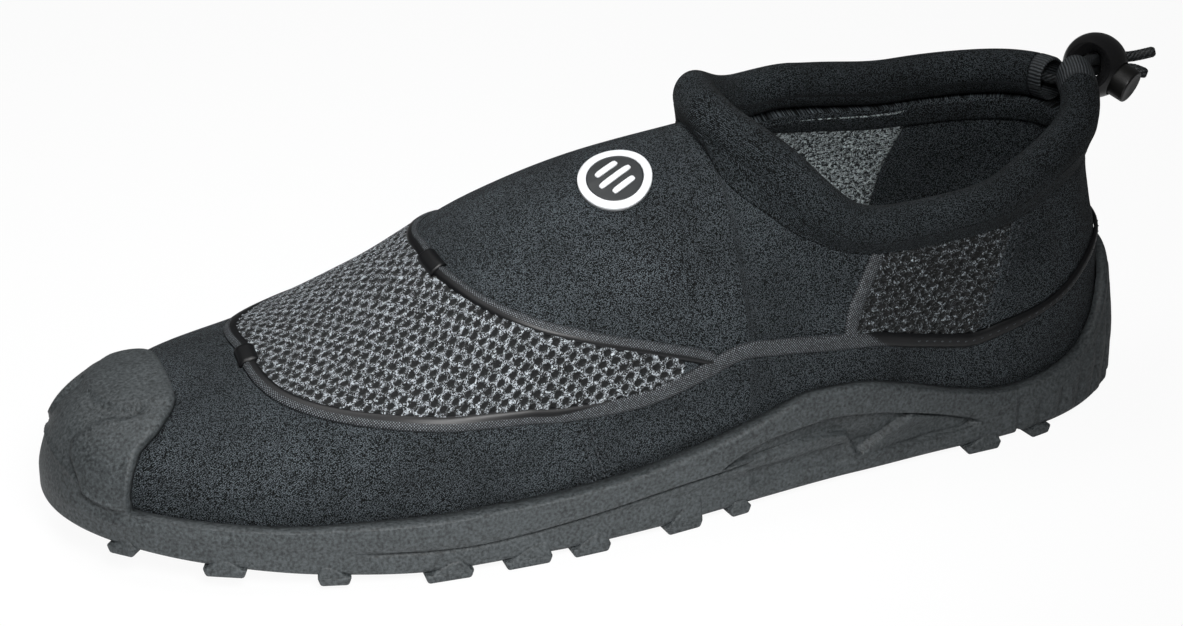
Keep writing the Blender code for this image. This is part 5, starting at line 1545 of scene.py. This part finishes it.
def dressInsole():
    # The CAD sheet stays as the footbed; brushed black jersey on Object coordinates.
    paint, tree, shader = newPaint("brushedFoam", {"Roughness": 0.9, "Sheen Weight": 0.3})
    where = addNode(tree, "TexCoord").outputs["Object"]
    fuzz = noiseOf(tree, where, 1500.0).outputs[0]
    dress(tree, shader, blended(tree, fuzz, "#0c0e0f", "#2a2e31"), fuzz, 0.5, 0.0002)
    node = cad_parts["insole"]
    for slot in node.material_slots:
        slot.material = paint


dressInsole()

# Studio: white floor, a narrow key light from the front and a weak light from above. Each light is
# its name, place, size, power and spread in degrees.
studio = {"floor": "#f4f5f6", "white": 0.94, "aim": (-0.055, -0.01, 0.03), "sky": 0.08, "lights": (
    ("key", (-0.11, -0.42, 0.42), 0.2, 0.42, 48), ("top", (-0.25, 0.2, 0.9), 0.5, 0.6, 60))}


def floorPaint():
    # Matt white that the camera sees mostly as plain white, so that only a soft shadow is left on it.
    paint, tree, shader = newPaint("paleFloor", {"Base Color": hexColour(studio["floor"]), "Roughness": 0.6})
    seen = addNode(tree, "LightPath").outputs["Is Camera Ray"]
    plain = addNode(tree, "Emission", {"Color": (1, 1, 1, 1), "Strength": 1.0})
    amount = worked(tree, "MULTIPLY", seen, studio["white"])
    mixed = addNode(tree, "MixShader", {0: amount, 1: shader.outputs[0], 2: plain.outputs[0]})
    tree.links.new(mixed.outputs[0], tree.nodes["Material Output"].inputs[0])
    return paint


def buildStudio():
    scene = bpy.context.scene
    scene.view_settings.view_transform = "Standard"
    corners = [(-3, -3, -0.0001), (3, -3, -0.0001), (3, 3, -0.0001), (-3, 3, -0.0001)]
    meshFrom("floor", corners, [(0, 1, 2, 3)], floorPaint())
    world = bpy.data.worlds.new("studio")
    scene.world = world
    world.use_nodes = True
    world.node_tree.nodes["Background"].inputs[0].default_value = (1, 1, 1, 1)
    world.node_tree.nodes["Background"].inputs[1].default_value = studio["sky"]
    for name, place, size, power, spread in studio["lights"]:
        data = bpy.data.lights.new(name, "AREA")
        data.size = size
        data.energy = power
        data.spread = math.radians(spread)
        lamp = bpy.data.objects.new(name, data)
        lamp.location = place
        lamp.visible_camera = False
        aim = Vector(studio["aim"]) - Vector(place)
        lamp.rotation_euler = aim.to_track_quat("-Z", "Y").to_euler()
        scene.collection.objects.link(lamp)


buildStudio()
print("stage: studio")
